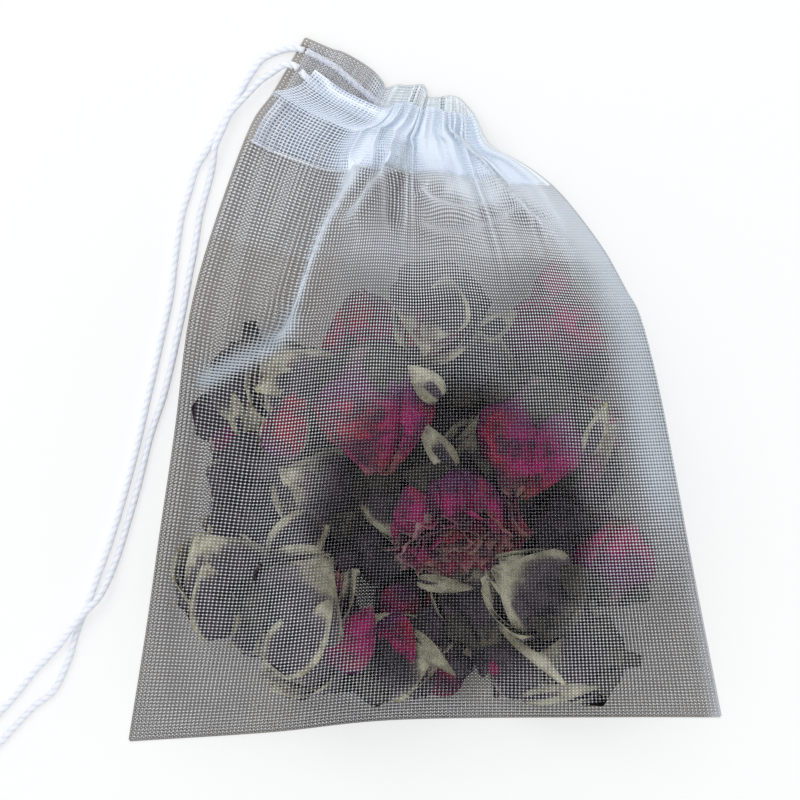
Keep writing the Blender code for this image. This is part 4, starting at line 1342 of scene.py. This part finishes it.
def back_shade_finish():
    nylon = Nodes("nylon_back")
    warp, _, along = nylon.attribute("crossing")
    # The grey-brown of this cloth is painted shade, as it lies in the shade of the front: darker towards the
    # bottom, uneven in blotches, and lighter along the right seam, above the hem line and in the frills.
    blotches = nylon.step(0.35, 0.65, nylon.noise(nylon.place(), 45.0, 3.0))
    hem = nylon.step(HEM_START - 0.002, HEM_START + 0.002, along)
    low = nylon.mix(blotches, (0.250, 0.238, 0.230), (0.300, 0.275, 0.250))
    high = nylon.mix(blotches, (0.345, 0.33, 0.315), (0.385, 0.34, 0.295))
    colour = nylon.mix(nylon.step(0.25, 0.75, along), low, high)
    colour = nylon.mix(nylon.step(0.97, 1.0, warp / (WARP_THREADS - 1)), colour, (0.55, 0.57, 0.60))
    colour = nylon.mix(hem * 0.8, colour, (0.47, 0.44, 0.41))
    colour = nylon.mix(hem * nylon.step(*FRILL_END, nylon.crosswise()), colour, (0.66, 0.70, 0.72))
    nylon.set(Base_Color=colour, Roughness=0.5, Specular_IOR_Level=0.3)
    return nylon.material


def casing_finish(name, strength):
    nylon = Nodes(name)
    warp, weft, _ = nylon.attribute("crossing")
    strips = nylon.noise(nylon.add("ShaderNodeCombineXYZ", {}, warp * 0.35, weft * 0.03, 0.0), 1.0, 4.0)
    streak = nylon.step(0.40, 0.65, strips)
    frill = nylon.step(*FRILL_END, nylon.crosswise())
    colour = nylon.mix(streak, (0.62, 0.65, 0.76), (0.92, 0.95, 1.0))
    # The frills at the left end are painted whiter, and all plies get a painted glow for the light passing
    # through them, strongest in the frills.
    colour = nylon.mix(frill * 0.7, colour, (0.90, 0.94, 0.95))
    nylon.set(Base_Color=colour, Roughness=0.35, Alpha=strength * (0.55 + 0.45 * streak) + 0.2 * frill)
    nylon.set(Emission_Color=nylon.mix(frill, (0.31, 0.34, 0.40), (0.75, 0.80, 0.82)), Emission_Strength=0.24)
    return nylon.material


front_nylon, shaded_back_nylon = front_finish(), back_shade_finish()
front_hem, back_hem = casing_finish("nylon_casing_front", 0.80), casing_finish("nylon_casing_back", 0.32)


def front_flap_layer(a, t):
    return flap_layer(a, t, FRONT_MOUTH, True, FRONT_FLAP, FRONT_LEVEL - FLAP_SEAT, 5)


def back_flap_layer(a, t):
    return flap_layer(a, t, BACK_MOUTH, False, BACK_FLAP, BACK_LEVEL + FLAP_SEAT, 9)


# %% [markdown]
# ## The hem's stitches
# The folded hem is closed with one row of small stitches, front and back. A second Geometry Nodes tree
# sets a slim bead at even steps along a line and turns each one the way the line runs.

# %% The stitching tree
SEAM_SPAN = (0.01, 0.99)
SEAM_POINTS = 160
SEAM_FLOOR = 0.0002
STITCHES = 74
STITCH_SIZE = (0.00052, 0.00011, 0.00008)


def stitching_tree():
    sew = new_group(
        "sew_stitches", "Seam", ("Line", "Geometry", None), ("Stitches", "Int", 60),
        ("Size", "Vector", (0.0005, 0.0001, 0.0001)), ("Finish", "Material", None),
    )
    curve = sew.add("GeometryNodeMeshToCurve", {}, Mesh=sew.given("Line"))
    even = sew.add("GeometryNodeResampleCurve", {}, Curve=curve, Count=sew.given("Stitches"))
    bead = sew.add("GeometryNodeMeshIcoSphere", {}, Radius=1.0, Subdivisions=2)
    tangent = sew.add("GeometryNodeInputTangent", {})
    turn = sew.add("FunctionNodeAlignRotationToVector", {"axis": "X"}, Vector=tangent)
    size = sew.given("Size")
    put = sew.add("GeometryNodeInstanceOnPoints", {}, Points=even, Instance=bead, Rotation=turn, Scale=size)
    return sew.hand_over(put)


def stitch_finish():
    stitch = Nodes("stitch_thread")
    stitch.set(Base_Color=(0.90, 0.92, 0.95, 1.0), Roughness=0.5)
    return stitch.material


def stitched(name, layer, lift):
    a = np.linspace(*SEAM_SPAN, SEAM_POINTS)[:, None]
    line = layer(a, np.full(a.shape, HEM_START))[:, 0] + np.array([0, 0, lift])
    line[:, 2] = np.maximum(line[:, 2], SEAM_FLOOR)
    seam = new_piece(name, line, edges=[(k, k + 1) for k in range(SEAM_POINTS - 1)])
    return run_tree(seam, stitch_tree, Stitches=STITCHES, Size=STITCH_SIZE, Finish=stitch_thread)


stitch_tree, stitch_thread = stitching_tree(), stitch_finish()
seams = [
    stitched("hem_stitches_front", front_layer, lift=0.0002),
    stitched("hem_stitches_back", back_layer, lift=-0.00005),
]
print("stitches:", sum(triangles_of(seam) for seam in seams), "triangles")

# %% [markdown]
# ## All the cloth
# Two pieces make each panel, because the threads need many more points where the pleats are.

# %% Weave the cloth
ALL = (0, WARP_THREADS - 1)
TURN_ROW = 144
HEM_ROW = round(HEM_START * WEFT_THREADS)
PANEL_ROWS, TOP_ROWS, HEM_ROWS = (0, TURN_ROW), (TURN_ROW, WEFT_THREADS), (HEM_ROW, WEFT_THREADS)
CASING = (2, WARP_THREADS - 3)
FRONT_THREAD = 0.000090
FRONT_GATHER_THREAD = 0.000112
BACK_THREAD = 0.00021
BACK_GATHER_THREAD = 0.00019
PLY_THREAD = 0.000140

front_panel = woven("mesh_front", front_layer, PANEL_ROWS, ALL, FRONT_THREAD, front_nylon, (60, 92), True)
front_gather = woven(
    "mesh_front_gather", front_layer, TOP_ROWS, ALL, FRONT_GATHER_THREAD, front_nylon, (44, 200), True,
)
back_panel = woven("mesh_back", back_layer, PANEL_ROWS, ALL, BACK_THREAD, shaded_back_nylon, (26, 44), profile=RIBBON)
back_gather = woven(
    "mesh_back_gather", back_layer, TOP_ROWS, ALL, BACK_GATHER_THREAD, shaded_back_nylon, (40, 200),
    profile=RIBBON,
)
front_ply = woven("casing_front", front_flap_layer, HEM_ROWS, CASING, PLY_THREAD, front_hem, (16, 200))
back_ply = woven("casing_back", back_flap_layer, HEM_ROWS, CASING, PLY_THREAD, back_hem, (16, 200))
cloths = [front_panel, front_gather, back_panel, back_gather, front_ply, back_ply]
for cloth in cloths:
    print(cloth.name, triangles_of(cloth), "triangles")

# %% [markdown]
# ## Thickness of the petals
# Petals have two sides, so each sheet gets a small thickness.

# %% Petal thickness
for piece in (*roses, *loose_pieces):
    wall = piece.modifiers.new("petal thickness", "SOLIDIFY")
    wall.thickness = PETAL_THICKNESS
    wall.offset = 0

# %% [markdown]
# ## Riding and replacing
# Each piece rides on the root. Those that stand for a solid replace it, and the solid is hidden.

# %% Tie the pieces to the model
for number, rose in enumerate(roses, 1):
    node = f"rosebud_{number:02d}"
    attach(rose, "root")
    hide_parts(node)
for piece in loose_pieces:
    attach(piece, "root")
for seam in seams:
    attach(seam, "root")
for cloth in cloths:
    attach(cloth, "root")
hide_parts("mesh_bag")
for piece in (upper_strand, lower_strand, held_string, knot, *tails):
    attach(piece, "root")
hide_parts("drawstring_upper_strand")
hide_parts("drawstring_lower_strand")
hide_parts("drawstring_in_casing")
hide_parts("drawstring_knot")

# %% [markdown]
# ## Table and light
# The table is white and carries the bag's soft shadow. The light is an even studio sky with one broad
# lamp from the upper left, so that the string and the petals get a light and a dark side.

# %% Table and lights
RAY_KINDS = ("Camera", "Glossy", "Transmission")
TABLE_HALF = 3
SKY_COLOUR = (0.97, 0.985, 1.0, 1)
SKY_STRENGTH = 0.90
LAMP_PLACE = Vector((-0.45, 0.40, 0.75))
LAMP_POWER = 1.9
LAMP_SIZE = 0.5


def white_for_camera(graph, strength_when_seen):
    """The share of a surface that shows as plain white to the camera and in reflections."""
    rays = (graph.add("ShaderNodeLightPath", {}, output=f"Is {kind} Ray") for kind in RAY_KINDS)
    camera_ray, glossy_ray, clear_ray = rays
    shiny = graph.add("ShaderNodeMath", {"operation": "MAXIMUM"}, glossy_ray, clear_ray)
    return graph.add("ShaderNodeMath", {"operation": "MAXIMUM"}, camera_ray, shiny) * strength_when_seen


def table_finish():
    white = Nodes("white_table")
    white.set(Base_Color=(0.97, 0.97, 0.97, 1), Roughness=0.9, Specular_IOR_Level=0.0)
    plain, glow = Wire(white, white.shader.outputs[0]), white.add("ShaderNodeEmission", {})
    blend = white.add("ShaderNodeMixShader", {}, white_for_camera(white, 0.55), plain, glow)
    white.feed(white.tree.nodes["Material Output"].inputs["Surface"], blend)
    return white.material


square = ((-1, -1), (1, -1), (1, 1), (-1, 1))
table_corners = [(side * TABLE_HALF, end * TABLE_HALF, 0) for side, end in square]
table = new_piece("table_top", table_corners, faces=[(0, 1, 2, 3)])
table.data.materials.append(table_finish())

world = bpy.data.worlds.new("studio_sky")
world.use_nodes = True
sky = Graph(world.node_tree)
dome = sky.add("ShaderNodeBackground", {}, Color=SKY_COLOUR, Strength=SKY_STRENGTH)
plain = sky.add("ShaderNodeBackground", {})
blend = sky.add("ShaderNodeMixShader", {}, white_for_camera(sky, 1.0), dome, plain)
sky.feed(sky.tree.nodes["World Output"].inputs["Surface"], blend)
bpy.context.scene.world = world

lamp_data = bpy.data.lights.new("window_lamp", "AREA")
lamp_data.energy = LAMP_POWER
lamp_data.size = LAMP_SIZE
lamp = bpy.data.objects.new("window_lamp", lamp_data)
lamp.location = LAMP_PLACE
lamp.rotation_euler = (-LAMP_PLACE).to_track_quat("-Z", "Y").to_euler()
bpy.context.scene.collection.objects.link(lamp)
bpy.context.scene.view_settings.view_transform = "Standard"
